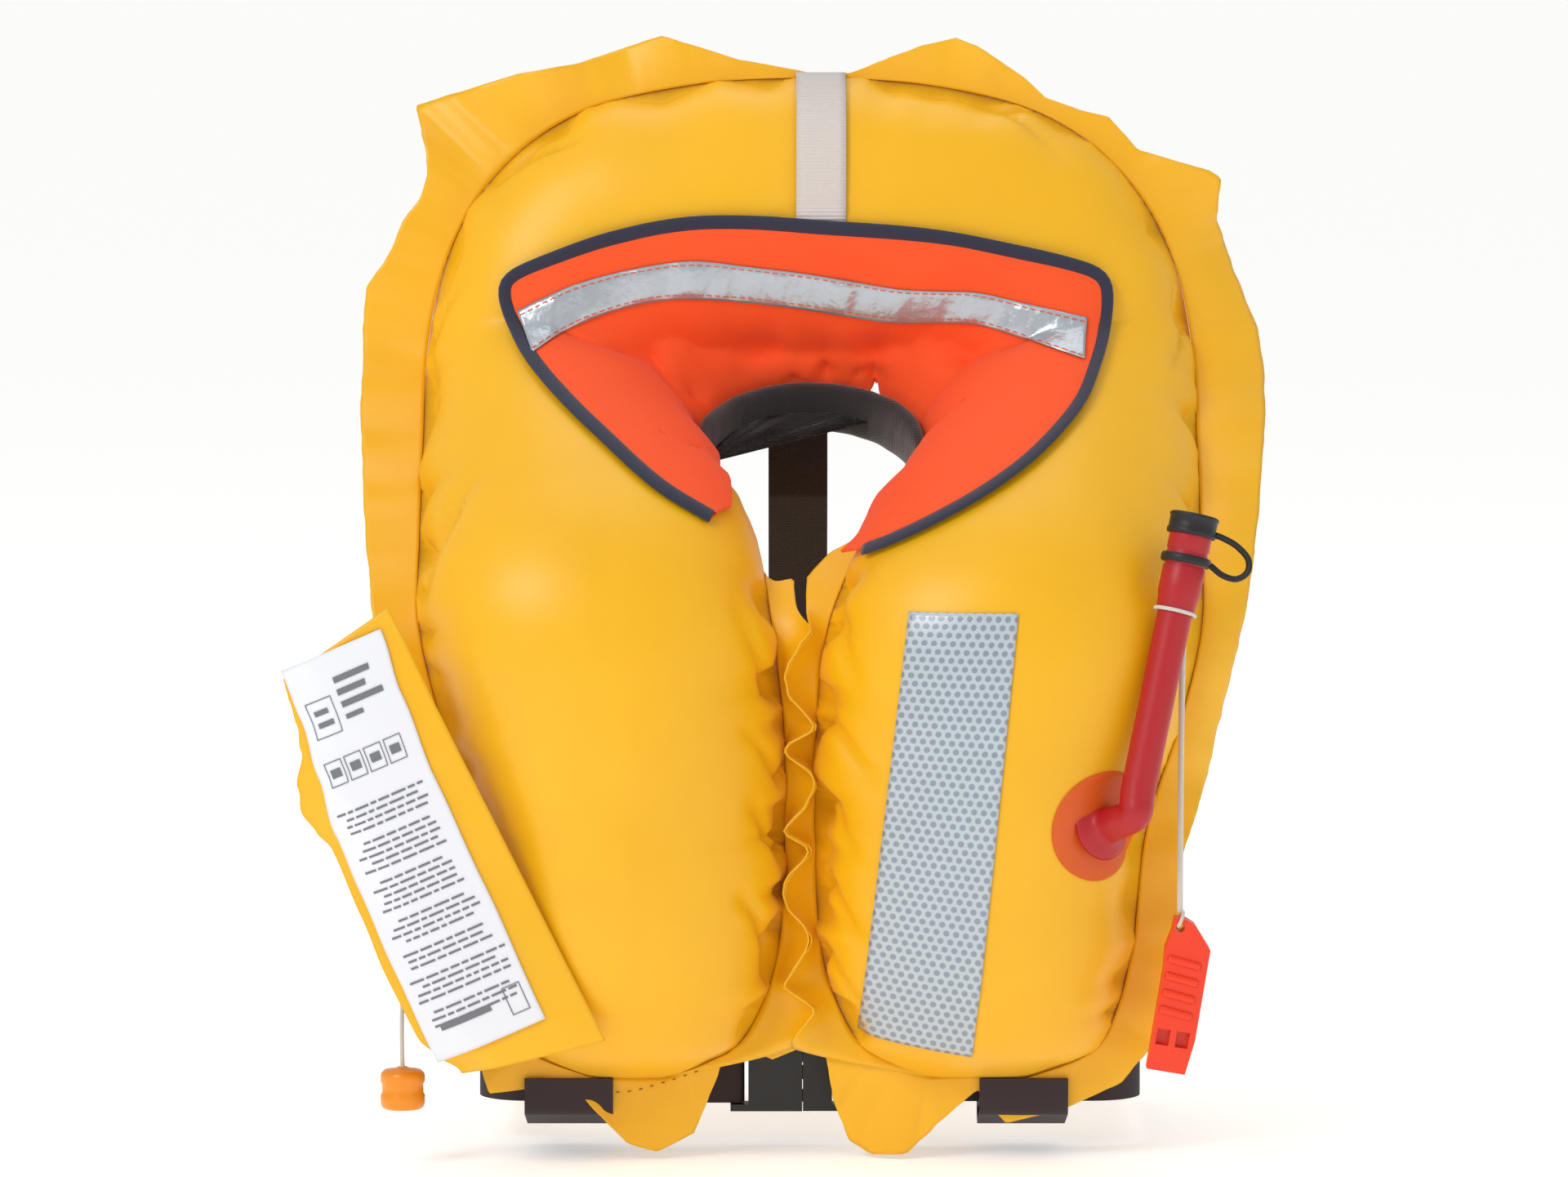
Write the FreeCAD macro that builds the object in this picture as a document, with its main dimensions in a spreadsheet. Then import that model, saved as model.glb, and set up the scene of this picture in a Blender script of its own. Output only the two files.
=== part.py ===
"""Inflatable life jacket, shown inflated: horseshoe bladder, cover, belt, oral tube and inflator.

Frame: +X to the wearer's left, +Y to the wearer's back, +Z up, in millimetres.
Origin: the face of the nape pad that bears on the back of the neck.
"""
import FreeCAD, Part
import Sketcher
import math
import os
from FreeCAD import Placement, Rotation, Vector

doc = FreeCAD.newDocument("LifeJacket")

# ---------------------------------------------------------------- driving dimensions

DIMENSIONS = {
    "film": 2.0,              # thickness of the two welded fabric layers of the rim
    "lobe_y": -105.0,         # depth of the front lobes' middle surface
    "collar_y": 12.0,         # the same surface where the collar begins behind the neck
    "collar_lean": 24.0,      # how far the collar leans back over its height
    "slit": 1.6,              # half of the gap between the two front lobes
    "cover_thick": 3.0,       # orange cover with its lining
    "binding_wide": 8.0,      # navy edge binding
    "binding_thick": 4.4,
    "cover_tape_thick": 0.8,
    "pad_high": 26.0,         # nape pad
    "pad_thick": 8.0,
    "pad_round": 50.0,        # radius of the pad's face round the neck
    "pad_sweep": 124.0,
    "pad_tilt": -25.0,
    "web": 30.0,              # belt and back strap webbing
    "web_thick": 2.0,
    "belt_y": -56.0,          # the belt's front stretch
    "belt_z": -325.0,
    "belt_back_y": 110.0,
    "belt_half": 166.0,
    "belt_corner": 24.0,
    "loop_wide": 44.0,
    "band_wide": 25.0,        # white lifting band
    "band_thick": 1.4,
    "band_x": 6.0,
    "patch_wide": 50.0,       # honeycomb reflective tape
    "patch_long": 200.0,
    "patch_thick": 1.2,
    "buckle_high": 38.0,
    "buckle_thick": 13.0,
    "buckle_long": 36.0,
    "buckle_wall": 2.6,
    "buckle_x": -4.0,         # where the two halves meet
    "prong_long": 22.0,
    "arm_high": 5.0,
    "arm_thick": 6.0,
    "bar_round": 1.4,         # radius of the bars that the webbing wraps
    "male_long": 24.0,
    "tube_od": 16.0,
    "tube_id": 9.0,
    "tube_run": 115.0,        # tube from its elbow to the mouthpiece
    "mouth_od": 21.0,
    "mouth_long": 34.0,
    "mouth_bore": 14.0,
    "cap_od": 24.0,
    "cap_high": 10.5,
    "stem_travel": 3.0,
    "tube_patch_od": 54.0,
    "lanyard": 3.0,
    "whistle_long": 76.0,
    "whistle_wide": 21.0,
    "whistle_deep": 14.0,
    "flap_wide": 74.0,
    "flap_long": 241.0,
    "flap_thick": 2.4,
    "flap_lean": -26.6,
    "label_wide": 52.0,
    "label_long": 205.0,
    "label_thick": 0.6,
    "cylinder_od": 26.0,      # CO2 cylinder
    "cylinder_long": 112.0,
    "neck_od": 12.6,
    "inflator_wide": 28.0,
    "inflator_deep": 24.0,
    "inflator_high": 44.0,
    "lever_thick": 8.0,
    "pin_od": 3.0,
    "spike_od": 4.0,
    "fit_gap": 0.05,          # radial clearance of the running fits
    "knob_od": 22.0,
    "knob_long": 21.0,
    "pull_cord": 2.2,
}

sheet = doc.addObject("Spreadsheet::Sheet", "Sizes")
for row, (alias, value) in enumerate(DIMENSIONS.items(), start=1):
    sheet.set(f"A{row}", alias)
    sheet.set(f"B{row}", str(value))
    sheet.setAlias(f"B{row}", alias)
doc.recompute()


def size(expression):
    """The value in mm of an expression of sheet aliases, or of a plain number."""
    if isinstance(expression, (int, float)):
        return float(expression)
    return float(sheet.evalExpression(expression))


# ---------------------------------------------------------------- document helpers

nodes = []


def keep(obj, label):
    """Name an object as a sub-part that is written out."""
    obj.Label = label
    nodes.append(obj)
    return obj


def new_body(name):
    return doc.addObject("PartDesign::Body", name)


def origin_plane(body, role):
    return next(f for f in body.Origin.OriginFeatures if f.Role == role)


def in_sheet(expression):
    """The expression with every alias written as a reference to the sheet."""
    if not isinstance(expression, str):
        return str(expression)
    for alias in sorted(DIMENSIONS, key=len, reverse=True):
        expression = expression.replace(alias, f"@{list(DIMENSIONS).index(alias)}@")
    for index, alias in enumerate(DIMENSIONS):
        expression = expression.replace(f"@{index}@", f"Sizes.{alias}")
    return expression


def set_sizes(obj, **expressions):
    """Bind properties of a feature to the sheet."""
    for prop, expression in expressions.items():
        if isinstance(expression, str):
            obj.setExpression(prop, in_sheet(expression))
        else:
            setattr(obj, prop, expression)
    return obj


def polygon(body, role, name, corners, lift=0.0):
    """A closed straight-sided sketch whose corners are bound to the sheet."""
    sketch = body.newObject("Sketcher::SketchObject", name)
    sketch.AttachmentSupport = [(origin_plane(body, role), "")]
    sketch.MapMode = "FlatFace"
    sketch.AttachmentOffset = Placement(Vector(0, 0, size(lift)), Rotation())
    ends = [Vector(size(u), size(v), 0) for u, v in corners]
    count = len(ends)
    for i in range(count):
        sketch.addGeometry(Part.LineSegment(ends[i], ends[(i + 1) % count]))
    for i in range(count):
        sketch.addConstraint(Sketcher.Constraint("Coincident", i, 2, (i + 1) % count, 1))
    for i, (u, v) in enumerate(corners):
        for kind, place, value in (("DistanceX", u, ends[i].x), ("DistanceY", v, ends[i].y)):
            index = sketch.addConstraint(Sketcher.Constraint(kind, -1, 1, i, 1, value))
            if isinstance(place, str):
                sketch.setExpression(f"Constraints[{index}]", in_sheet(place))
    return sketch


def disc(body, role, name, radius, at=(0, 0), lift=0.0):
    """A circle sketch whose radius is bound to the sheet."""
    sketch = body.newObject("Sketcher::SketchObject", name)
    sketch.AttachmentSupport = [(origin_plane(body, role), "")]
    sketch.MapMode = "FlatFace"
    sketch.AttachmentOffset = Placement(Vector(0, 0, size(lift)), Rotation())
    centre = Vector(size(at[0]), size(at[1]), 0)
    sketch.addGeometry(Part.Circle(centre, Vector(0, 0, 1), size(radius)))
    sketch.addConstraint(Sketcher.Constraint("DistanceX", -1, 1, 0, 3, centre.x))
    sketch.addConstraint(Sketcher.Constraint("DistanceY", -1, 1, 0, 3, centre.y))
    index = sketch.addConstraint(Sketcher.Constraint("Radius", 0, size(radius)))
    if isinstance(radius, str):
        sketch.setExpression(f"Constraints[{index}]", in_sheet(radius))
    return sketch


def rectangle(u0, v0, u1, v1):
    """Corners of a rectangle between two opposite corners."""
    return [(u0, v0), (u1, v0), (u1, v1), (u0, v1)]


def pad(body, sketch, length, name, both_ways=True):
    """Extrude a sketch, equally to both sides of its plane unless told otherwise."""
    feature = body.newObject("PartDesign::Pad", name)
    feature.Profile = sketch
    feature.SideType = "Symmetric" if both_ways else "One side"
    set_sizes(feature, Length=length)
    doc.recompute()
    return feature


def pocket(body, sketch, length, name, both_ways=True, reverse=False):
    """Cut a sketch out of the body, and make sure that it did cut."""
    before = body.Shape.Volume
    feature = body.newObject("PartDesign::Pocket", name)
    feature.Profile = sketch
    feature.SideType = "Symmetric" if both_ways else "One side"
    feature.Reversed = reverse
    set_sizes(feature, Length=length)
    doc.recompute()
    if not body.Shape.Volume < before - 0.01:
        raise RuntimeError(f"{body.Name}.{name} cuts nothing")
    return feature


def revolve(body, sketch, name, angle=360.0):
    """Turn a sketch about its own vertical axis."""
    feature = body.newObject("PartDesign::Revolution", name)
    feature.Profile = sketch
    feature.ReferenceAxis = (sketch, ["V_Axis"])
    set_sizes(feature, Angle=angle)
    doc.recompute()
    return feature


def round_edges(body, radius, name, chosen):
    """Fillet the edges of the body's last feature that the test picks."""
    last = body.Tip
    names = [f"Edge{i + 1}" for i, edge in enumerate(last.Shape.Edges) if chosen(edge)]
    feature = body.newObject("PartDesign::Fillet", name)
    feature.Base = (last, names)
    set_sizes(feature, Radius=radius)
    doc.recompute()
    return feature


def runs_along(axis):
    """A test for straight edges parallel to an axis."""
    def test(edge):
        if not isinstance(edge.Curve, Part.Line):
            return False
        return abs(edge.tangentAt(edge.FirstParameter).dot(axis)) > 0.999
    return test


def turned(body_name, label, profile, place=Placement()):
    """A turned sub-part: a profile of (radius, height) corners revolved about Z."""
    body = new_body(body_name)
    revolve(body, polygon(body, "XZ_Plane", body_name + "_profile", profile), body_name + "_turn")
    body.Placement = place
    return keep(body, label)


def from_shape(name, label, shape, place=Placement()):
    """A sub-part whose free-form shape is computed from the sheet's values."""
    feature = doc.addObject("Part::Feature", name)
    feature.Shape = shape
    feature.Placement = place
    return keep(feature, label)


# ---------------------------------------------------------------- paths of runs and arcs


def rounded(points, radii):
    """Straight runs joined by tangent arcs, one radius for each inner corner."""
    edges = []
    start = points[0]
    for before, corner, after, radius in zip(points, points[1:], points[2:], radii):
        into = (corner - before).normalize()
        out = (after - corner).normalize()
        turn = into.getAngle(out)
        reach = radius * math.tan(turn / 2)
        first = corner - into * reach
        last = corner + out * reach
        inward = (out - into).normalize()
        middle = corner + inward * (radius / math.cos(turn / 2) - radius)
        if (first - start).Length > 1e-4:
            edges.append(Part.LineSegment(start, first).toShape())
        edges.append(Part.Arc(first, middle, last).toShape())
        start = last
    edges.append(Part.LineSegment(start, points[-1]).toShape())
    return edges


def largest_radii(points):
    """Each corner's largest arc: 0.45 of its shorter run over the tangent of half its turn."""
    radii = []
    for before, corner, after in zip(points, points[1:], points[2:]):
        turn = (corner - before).getAngle(after - corner)
        shorter = min((corner - before).Length, (after - corner).Length)
        radii.append(0.45 * shorter / math.tan(turn / 2))
    return radii


def cord(name, label, points, diameter):
    """A round cord along a route, as straight runs joined by the largest tangent arcs."""
    radii = largest_radii(points)
    path = Part.Wire(rounded(points, radii))
    ring = Part.Wire(Part.Circle(points[0], points[1] - points[0], diameter / 2).toShape())
    tube = path.makePipeShell([ring], True, False)
    expected = math.pi * diameter**2 / 4 * path.Length
    print(f"{label}: radii {[round(r, 1) for r in radii]} mm, length {path.Length:.1f} mm, "
          f"volume {tube.Volume:.1f} of {expected:.1f} mm3")
    return from_shape(name, label, tube)


def across(direction):
    """The left-hand normal of a direction in its own plane of two numbers."""
    return (-direction[1], direction[0])


def strip_face(points, radius, thickness, lift):
    """A strip of constant thickness along a flat path; lift maps (a, b) to a 3-D point."""
    def offset(distance):
        moved = []
        for i, here in enumerate(points):
            steps = []
            if i:
                steps.append((here[0] - points[i - 1][0], here[1] - points[i - 1][1]))
            if i < len(points) - 1:
                steps.append((points[i + 1][0] - here[0], points[i + 1][1] - here[1]))
            normals = [across([c / math.hypot(*s) for c in s]) for s in steps]
            total = [sum(n[k] for n in normals) for k in (0, 1)]
            scale = len(normals) * distance / sum(c * c for c in total)
            moved.append((here[0] + total[0] * scale, here[1] + total[1] * scale))
        return moved

    def turn_sign(i):
        ax, ay = points[i][0] - points[i - 1][0], points[i][1] - points[i - 1][1]
        bx, by = points[i + 1][0] - points[i][0], points[i + 1][1] - points[i][1]
        return math.copysign(1, ax * by - ay * bx)

    sides = []
    for distance in (thickness / 2, -thickness / 2):
        radii = [radius - turn_sign(i) * distance for i in range(1, len(points) - 1)]
        sides.append(rounded([lift(*p) for p in offset(distance)], radii))
    ends = [(sides[0][0].Vertexes[0].Point, sides[1][0].Vertexes[0].Point),
            (sides[0][-1].Vertexes[-1].Point, sides[1][-1].Vertexes[-1].Point)]
    caps = [Part.LineSegment(a, b).toShape() for a, b in ends]
    wire = Part.Wire(Part.__sortEdges__(sides[0] + [caps[1]] + sides[1] + [caps[0]]))
    return Part.Face(wire)


def side_view(a, b):
    return Vector(0, a, b)


def plan_view(a, b):
    return Vector(a, b, 0)


def front_face(points, smooth=True):
    """A flat face in the front view from (x, z) points, as a closed curve or a polygon."""
    ends = [Vector(x, 0, z) for x, z in points]
    if smooth:
        curve = Part.BSplineCurve()
        curve.interpolate(ends, PeriodicFlag=True)
        return Part.Face(Part.Wire(curve.toShape()))
    return Part.Face(Part.makePolygon(ends + ends[:1]))


def through(face, y0=-320.0, y1=220.0):
    """The prism of a front-view face from one depth to another."""
    moved = face.copy()
    moved.translate(Vector(0, y0, 0))
    return moved.extrude(Vector(0, y1 - y0, 0))


# ---------------------------------------------------------------- bladder

LOBE_Y = size("lobe_y")
COLLAR_Y = size("collar_y")

# side view (y, z) of the rim's surface: upright lobes, a slope under the neck, a leaning collar
MIDDLE = [
    (LOBE_Y, -420.0),
    (LOBE_Y, -92.0),
    (COLLAR_Y, 26.0),
    (COLLAR_Y + size("collar_lean"), 240.0),
]
MIDDLE_ROUND = 75.0
RIM_GAP = 1.8                  # between the rim and the chamber, which its weld closes

# the chamber's sections, from the foot of a lobe to the top of the collar:
# x, z, lean of the section in degrees, half width, half depth
STATIONS = [
    (86, -319, 0, 30, 9),
    (86, -309, 0, 52, 27),
    (85, -290, 0, 66, 43),
    (84, -255, 0, 76, 55),
    (86, -195, 0, 81, 59),
    (95, -140, 0, 89, 60),
    (103, -95, 0, 91, 58),
    (112, -52, 0, 83, 53),
    (126, -8, 0, 69, 46),
    (134, 28, 14, 61, 43),
    (124, 64, 42, 64, 42),
    (96, 89, 64, 68, 41),
    (52, 100, 80, 69, 41),
    (0, 102, 90, 70, 41),
]


def middle_at(z):
    """Depth of the rim's surface at a height, and its slope there."""
    wire = Part.Wire(rounded([side_view(*p) for p in MIDDLE], [MIDDLE_ROUND] * 2))

    def depth(height):
        level = Part.LineSegment(Vector(0, -300, height), Vector(0, 300, height)).toShape()
        return wire.distToShape(level)[1][0][0].y
    return depth(z), (depth(z + 1) - depth(z - 1)) / 2


def station_axes(x, z, lean):
    """Centre of a section, its in-surface direction away from the neck, and the way forward."""
    depth, slope = middle_at(z)
    up = Vector(0, slope, 1).normalize()
    outward = Vector(1, 0, 0) * math.cos(math.radians(lean)) + up * math.sin(math.radians(lean))
    return Vector(x, depth, z), outward, Vector(0, -1, slope).normalize()


def chamber(extra=0.0):
    """The inflated chamber, with its sections larger all round by extra."""
    rings = []
    x, z, lean, wide, deep = STATIONS[-2]
    past_middle = (-x, z, 180 - lean, wide, deep)
    for x, z, lean, wide, deep in STATIONS + [past_middle]:
        centre, outward, forward = station_axes(x, z, lean)
        ring = Part.Ellipse(centre + outward * (wide + extra), centre + forward * (deep + extra),
                            centre)
        rings.append(Part.Wire(ring.toShape()))
    left_side = Part.makeBox(300, 500, 800, Vector(0, -250, -400))
    half = Part.makeLoft(rings, True, False).common(left_side)
    return half.fuse(half.mirror(Vector(0, 0, 0), Vector(1, 0, 0))).removeSplitter()


def chamber_shadow(extra):
    """Front-view face of the chamber's wearer's-left half, larger all round by extra."""
    outer, inner = [], []
    for x, z, lean, wide, deep in STATIONS:
        centre, outward, forward = station_axes(x, z, lean)
        for points, side in ((outer, 1), (inner, -1)):
            tip = centre + outward * (side * (wide + extra))
            points.append(Vector(tip.x, 0, tip.z))
    inner.reverse()
    curves = []
    for points in (outer, inner):
        curve = Part.BSplineCurve()
        curve.interpolate(points)
        curves.append(curve.toShape())
    ends = [(outer[-1], inner[0]), (inner[-1], outer[0])]
    lines = [Part.LineSegment(first, last).toShape() for first, last in ends]
    return Part.Face(Part.Wire([curves[0], lines[0], curves[1], lines[1]]))


def ahead_of_rim():
    """Everything in front of the rim's surface."""
    path = rounded([side_view(*p) for p in MIDDLE], [MIDDLE_ROUND] * 2)
    top, bottom = side_view(*MIDDLE[-1]), side_view(*MIDDLE[0])
    far = [top, Vector(0, -330, top.z), Vector(0, -330, bottom.z), bottom]
    closing = [Part.LineSegment(a, b).toShape() for a, b in zip(far, far[1:])]
    face = Part.Face(Part.Wire(path + closing))
    face.translate(Vector(-300, 0, 0))
    return face.extrude(Vector(600, 0, 0))


# outer edge of the rim in the front view, from the top centre clockwise
RIM = [
    (10, 174), (40, 180), (75, 192), (118, 163), (165, 140), (207, 118), (216, 74), (230, 30),
    (229, -10), (218, -75), (200, -145), (187, -205), (178, -250), (158, -314), (128, -327),
    (96, -328), (76, -338), (62, -354), (44, -358), (24, -350), (9, -316),
    (-9, -316), (-40, -318), (-56, -350), (-70, -357), (-84, -346), (-98, -329), (-128, -326),
    (-160, -324), (-180, -262), (-198, -190), (-214, -95), (-226, -40), (-228, 40), (-207, 95),
    (-198, 150), (-150, 172), (-75, 192), (-36, 180), (-10, 174),
]

# the neck opening in the rim, from its top centre clockwise
NECK = [(0, 26), (38, 23), (64, 12), (66, -6), (50, -24), (30, -52), (10, -88),
        (-10, -88), (-30, -52), (-50, -24), (-66, -6), (-64, 12), (-38, 23)]

CHAMBER = chamber()
AHEAD = ahead_of_rim()
AHEAD_CLEAR = AHEAD.translated(Vector(0, -1.7, 0))    # ahead of the rim's front face too

from_shape("FrontPanel", "bladder_front_panel", CHAMBER.common(AHEAD))
from_shape("BackPanel", "bladder_back_panel", CHAMBER.cut(AHEAD))


def weld_rim():
    """The rim where the two panels are welded, beyond the chamber."""
    strip = strip_face(MIDDLE, MIDDLE_ROUND, size("film"), side_view)
    strip.translate(Vector(-300, 0, 0))
    slab = strip.extrude(Vector(600, 0, 0))
    half = size("slit")
    slit = front_face([(-half, -70), (half, -70), (half, -430), (-half, -430)], smooth=False)
    rim = slab.common(through(front_face(RIM)))
    rim = rim.cut(through(front_face(NECK))).cut(through(slit))
    shadow = through(chamber_shadow(RIM_GAP))
    return rim.cut(shadow).cut(shadow.mirror(Vector(0, 0, 0), Vector(1, 0, 0)))


from_shape("WeldRim", "weld_rim", weld_rim())


def skin(face, inner, outer):
    """A layer that lies on the chamber's front, between two heights above its surface."""
    block = through(face, y1=200.0).common(chamber(outer)).common(AHEAD_CLEAR)
    return block.cut(CHAMBER if inner == 0 else chamber(inner))


# ---------------------------------------------------------------- cover, tapes and bands

COVER = [(-49, -42), (-76, -26), (-103, -6), (-134, 26), (-153, 64), (-142, 76), (-103, 90), (-66, 98),
         (0, 97), (64, 92), (112, 82), (148, 69), (146, 44), (134, 12), (105, -16), (64, -40), (30, -56)]
COVER_FRONT = COVER + [(0, -20)]
COVER_TAPE = [(-148, 58), (-119, 72), (-78, 80), (0, 75), (60, 68), (140, 52), (138, 32), (88, 46),
              (40, 54), (0, 57), (-78, 62), (-114, 53), (-141, 38)]


def cover_parts():
    """Cover, its edge binding and its reflective tape."""
    whole = front_face(COVER_FRONT, smooth=False)
    inset = whole.makeOffset2D(-size("binding_wide"))
    open_side = front_face([(-49, -42), (-40, -52), (0, -70), (30, -66), (30, -56), (70, -10), (0, 60),
                            (-70, 0)], smooth=False)
    body = whole.cut(whole.cut(inset).cut(open_side))
    edge = whole.cut(body)
    tape = front_face(COVER_TAPE, smooth=False).common(inset)
    cover_top = size("cover_thick")
    return (skin(body, 0, cover_top), skin(edge, 0, size("binding_thick")),
            skin(tape, cover_top, cover_top + size("cover_tape_thick")))


cover, binding, cover_tape = cover_parts()
from_shape("Cover", "protective_cover", cover)
from_shape("Binding", "cover_binding", binding)
from_shape("CoverTape", "cover_reflective_tape", cover_tape)

# honeycomb tape on the wearer's left lobe, leaning with the lobe
PATCH_CENTRE = Vector(63, 0, -190)
PATCH_LEAN = 6.5


def honeycomb_face():
    half_wide, half_long = size("patch_wide / 2"), size("patch_long / 2")
    face = front_face([(-half_wide, half_long), (half_wide, half_long), (half_wide, -half_long),
                       (-half_wide, -half_long)], smooth=False)
    face.Placement = Placement(PATCH_CENTRE, Rotation(Vector(0, 1, 0), PATCH_LEAN))
    return face


from_shape("HoneycombTape", "honeycomb_tape", skin(honeycomb_face(), 0, size("patch_thick")))


BAND_FOOT_Z = 100.0            # the band's two ends, in front of and behind the collar
BAND_GAP = 2.6                 # between the band and the collar


def lifting_band():
    """White band over the top of the collar, a closed strip round its section."""
    x, z, lean, wide, deep = STATIONS[-1]
    centre, up, forward = station_axes(x, z, lean)
    centre.x = size("band_x - band_wide / 2")
    faces = []
    for gap in (BAND_GAP, BAND_GAP + size("band_thick")):
        oval = Part.Ellipse(centre + up * (wide + gap), centre + forward * (deep + gap), centre)
        faces.append(Part.Face(Part.Wire(oval.toShape())))
    ring = faces[1].cut(faces[0]).extrude(Vector(size("band_wide"), 0, 0))
    above = Part.makeBox(100, 300, 200, Vector(-50, -150, BAND_FOOT_Z))
    return ring.common(above)


from_shape("LiftingBand", "lifting_band", lifting_band())


def nape_pad():
    """Padded collar piece: a rounded strip turned part of the way round the neck."""
    body = new_body("NapePad")
    inner, outer = "pad_round", "pad_round + pad_thick"
    profile = polygon(body, "XZ_Plane", "pad_profile",
                      rectangle(inner, "-pad_high / 2", outer, "pad_high / 2"))
    turn = revolve(body, profile, "pad_turn", "pad_sweep")
    turn.Midplane = True
    doc.recompute()
    round_edges(body, 3.0, "pad_soft_edges", lambda edge: isinstance(edge.Curve, Part.Circle))
    swing = Rotation(Vector(0, 0, 1), 90)
    tilt = Rotation(Vector(1, 0, 0), size("-pad_tilt"))
    body.Placement = Placement(tilt.multVec(Vector(0, size("-pad_round"), 0)), tilt.multiply(swing))
    return keep(body, "nape_pad")


nape_pad()

# ---------------------------------------------------------------- belt and straps

BELT_Y, BELT_Z = size("belt_y"), size("belt_z")
BACK_Y = size("belt_back_y")
HALF = size("belt_half")
WEB, WEB_THICK = size("web"), size("web_thick")
BAR = 3.1                      # radius of the webbing's turn round a buckle bar
BAR_TURN = BAR - 0.005         # the same, just short of a half turn's full radius
SEWN_BACK = 18.0               # length of webbing sewn back beyond a buckle bar
FEMALE_BAR_X = size("buckle_x - buckle_long + 3")
MALE_BAR_X = size("buckle_x + male_long - 3")
SEAM_X = 134.0                 # where the short front webbing is sewn to the belt


def webbing(points, radius, middle_z):
    """Webbing standing on edge along a plan-view path."""
    face = strip_face(points, radius, WEB_THICK, plan_view)
    face.translate(Vector(0, 0, middle_z - WEB / 2))
    return face.extrude(Vector(0, 0, WEB))


def belt():
    """The long webbing: round the female bar, round the waist and back to the front seam."""
    turn_end = FEMALE_BAR_X - SEWN_BACK
    hook = [(turn_end, BELT_Y - 2 * BAR), (FEMALE_BAR_X + BAR, BELT_Y - 2 * BAR),
            (FEMALE_BAR_X + BAR, BELT_Y), (turn_end, BELT_Y)]
    loop = [(turn_end, BELT_Y), (-HALF, BELT_Y), (-HALF, BACK_Y), (HALF, BACK_Y), (HALF, BELT_Y),
            (SEAM_X, BELT_Y)]
    around_waist = webbing(loop, size("belt_corner"), BELT_Z)
    return webbing(hook, BAR_TURN, BELT_Z).fuse(around_waist).removeSplitter()


def front_webbing():
    """The short webbing from the male bar to the front seam."""
    turn_end = MALE_BAR_X + SEWN_BACK
    path = [(turn_end, BELT_Y - 2 * BAR), (MALE_BAR_X - BAR, BELT_Y - 2 * BAR),
            (MALE_BAR_X - BAR, BELT_Y), (SEAM_X, BELT_Y)]
    return webbing(path, BAR_TURN, BELT_Z)


from_shape("Belt", "belt_webbing", belt())
from_shape("FrontWebbing", "belt_front_webbing", front_webbing())


LOOP_OFF_RIM = 2.6             # from the rim's middle to the middle of a sewn loop end


def belt_loop(left_x):
    """A webbing loop sewn to both faces of the rim, with the belt running through it."""
    front, back = LOBE_Y - LOOP_OFF_RIM, LOBE_Y + LOOP_OFF_RIM
    low = BELT_Z - WEB / 2
    path = [(front, -321), (front, low + 2), (BELT_Y - 4, low - 10), (BELT_Y + 5, low - 7),
            (BELT_Y + 5, BELT_Z + WEB / 2 + 5), (BELT_Y - 5, BELT_Z + WEB / 2 + 5),
            (BELT_Y - 6, low - 1), (back, low + 7), (back, -321)]
    face = strip_face(path, 2.5, WEB_THICK, side_view)
    face.translate(Vector(left_x, 0, 0))
    return face.extrude(Vector(size("loop_wide"), 0, 0))


from_shape("BeltLoopRight", "belt_loop_right", belt_loop(-142.0))
from_shape("BeltLoopLeft", "belt_loop_left", belt_loop(84.0))


def back_strap():
    """Webbing from the nape pad down the back, turned round the back of the belt."""
    low = BELT_Z - WEB / 2 - 4
    path = [(13.4, 6), (13.4, -40), (BACK_Y - 4, -210), (BACK_Y - 4, low), (BACK_Y + 4, low),
            (BACK_Y + 4, BELT_Z + WEB / 2 + 12)]
    face = strip_face(path, 3.6, WEB_THICK, side_view)
    face.translate(Vector(-6 - WEB / 2, 0, 0))
    return face.extrude(Vector(WEB, 0, 0))


from_shape("BackStrap", "back_strap", back_strap())


def belt_adjuster():
    """Three-bar slider on the back stretch of the belt."""
    body = new_body("Adjuster")
    outline = polygon(body, "YZ_Plane", "adjuster_outline",
                      rectangle(-4, "-web / 2 - 4", 4, "web / 2 + 4"))
    pad(body, outline, 24.0, "adjuster_block")
    tunnel = polygon(body, "YZ_Plane", "adjuster_tunnel",
                     rectangle("-web_thick / 2 - 0.4", "-web / 2 - 0.5",
                               "web_thick / 2 + 0.4", "web / 2 + 0.5"))
    pocket(body, tunnel, 30.0, "adjuster_way")
    for side, name in ((-1, "left"), (1, "right")):
        window = polygon(body, "XZ_Plane", f"adjuster_{name}",
                         rectangle(side * 2.5, "-web / 2 + 1", side * 9, "web / 2 - 1"))
        pocket(body, window, 20.0, f"adjuster_window_{name}")
    round_edges(body, 2.0, "adjuster_corners", lambda edge: runs_along(Vector(0, 1, 0))(edge)
                and abs(edge.CenterOfMass.z) > 18)
    body.Placement = Placement(Vector(-95, BACK_Y, BELT_Z), Rotation())
    return keep(body, "belt_adjuster")


belt_adjuster()

# ---------------------------------------------------------------- side-release buckle
# local frame: x along the belt with 0 where the halves meet, y through the buckle, z across the belt

BUCKLE = Placement(Vector(size("buckle_x"), BELT_Y - BAR, BELT_Z), Rotation())


# depths cleared in front of and behind a webbing bar
RELIEFS = (("front", "-buckle_thick", "-bar_round"), ("rear", "bar_round", "buckle_thick"))


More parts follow.
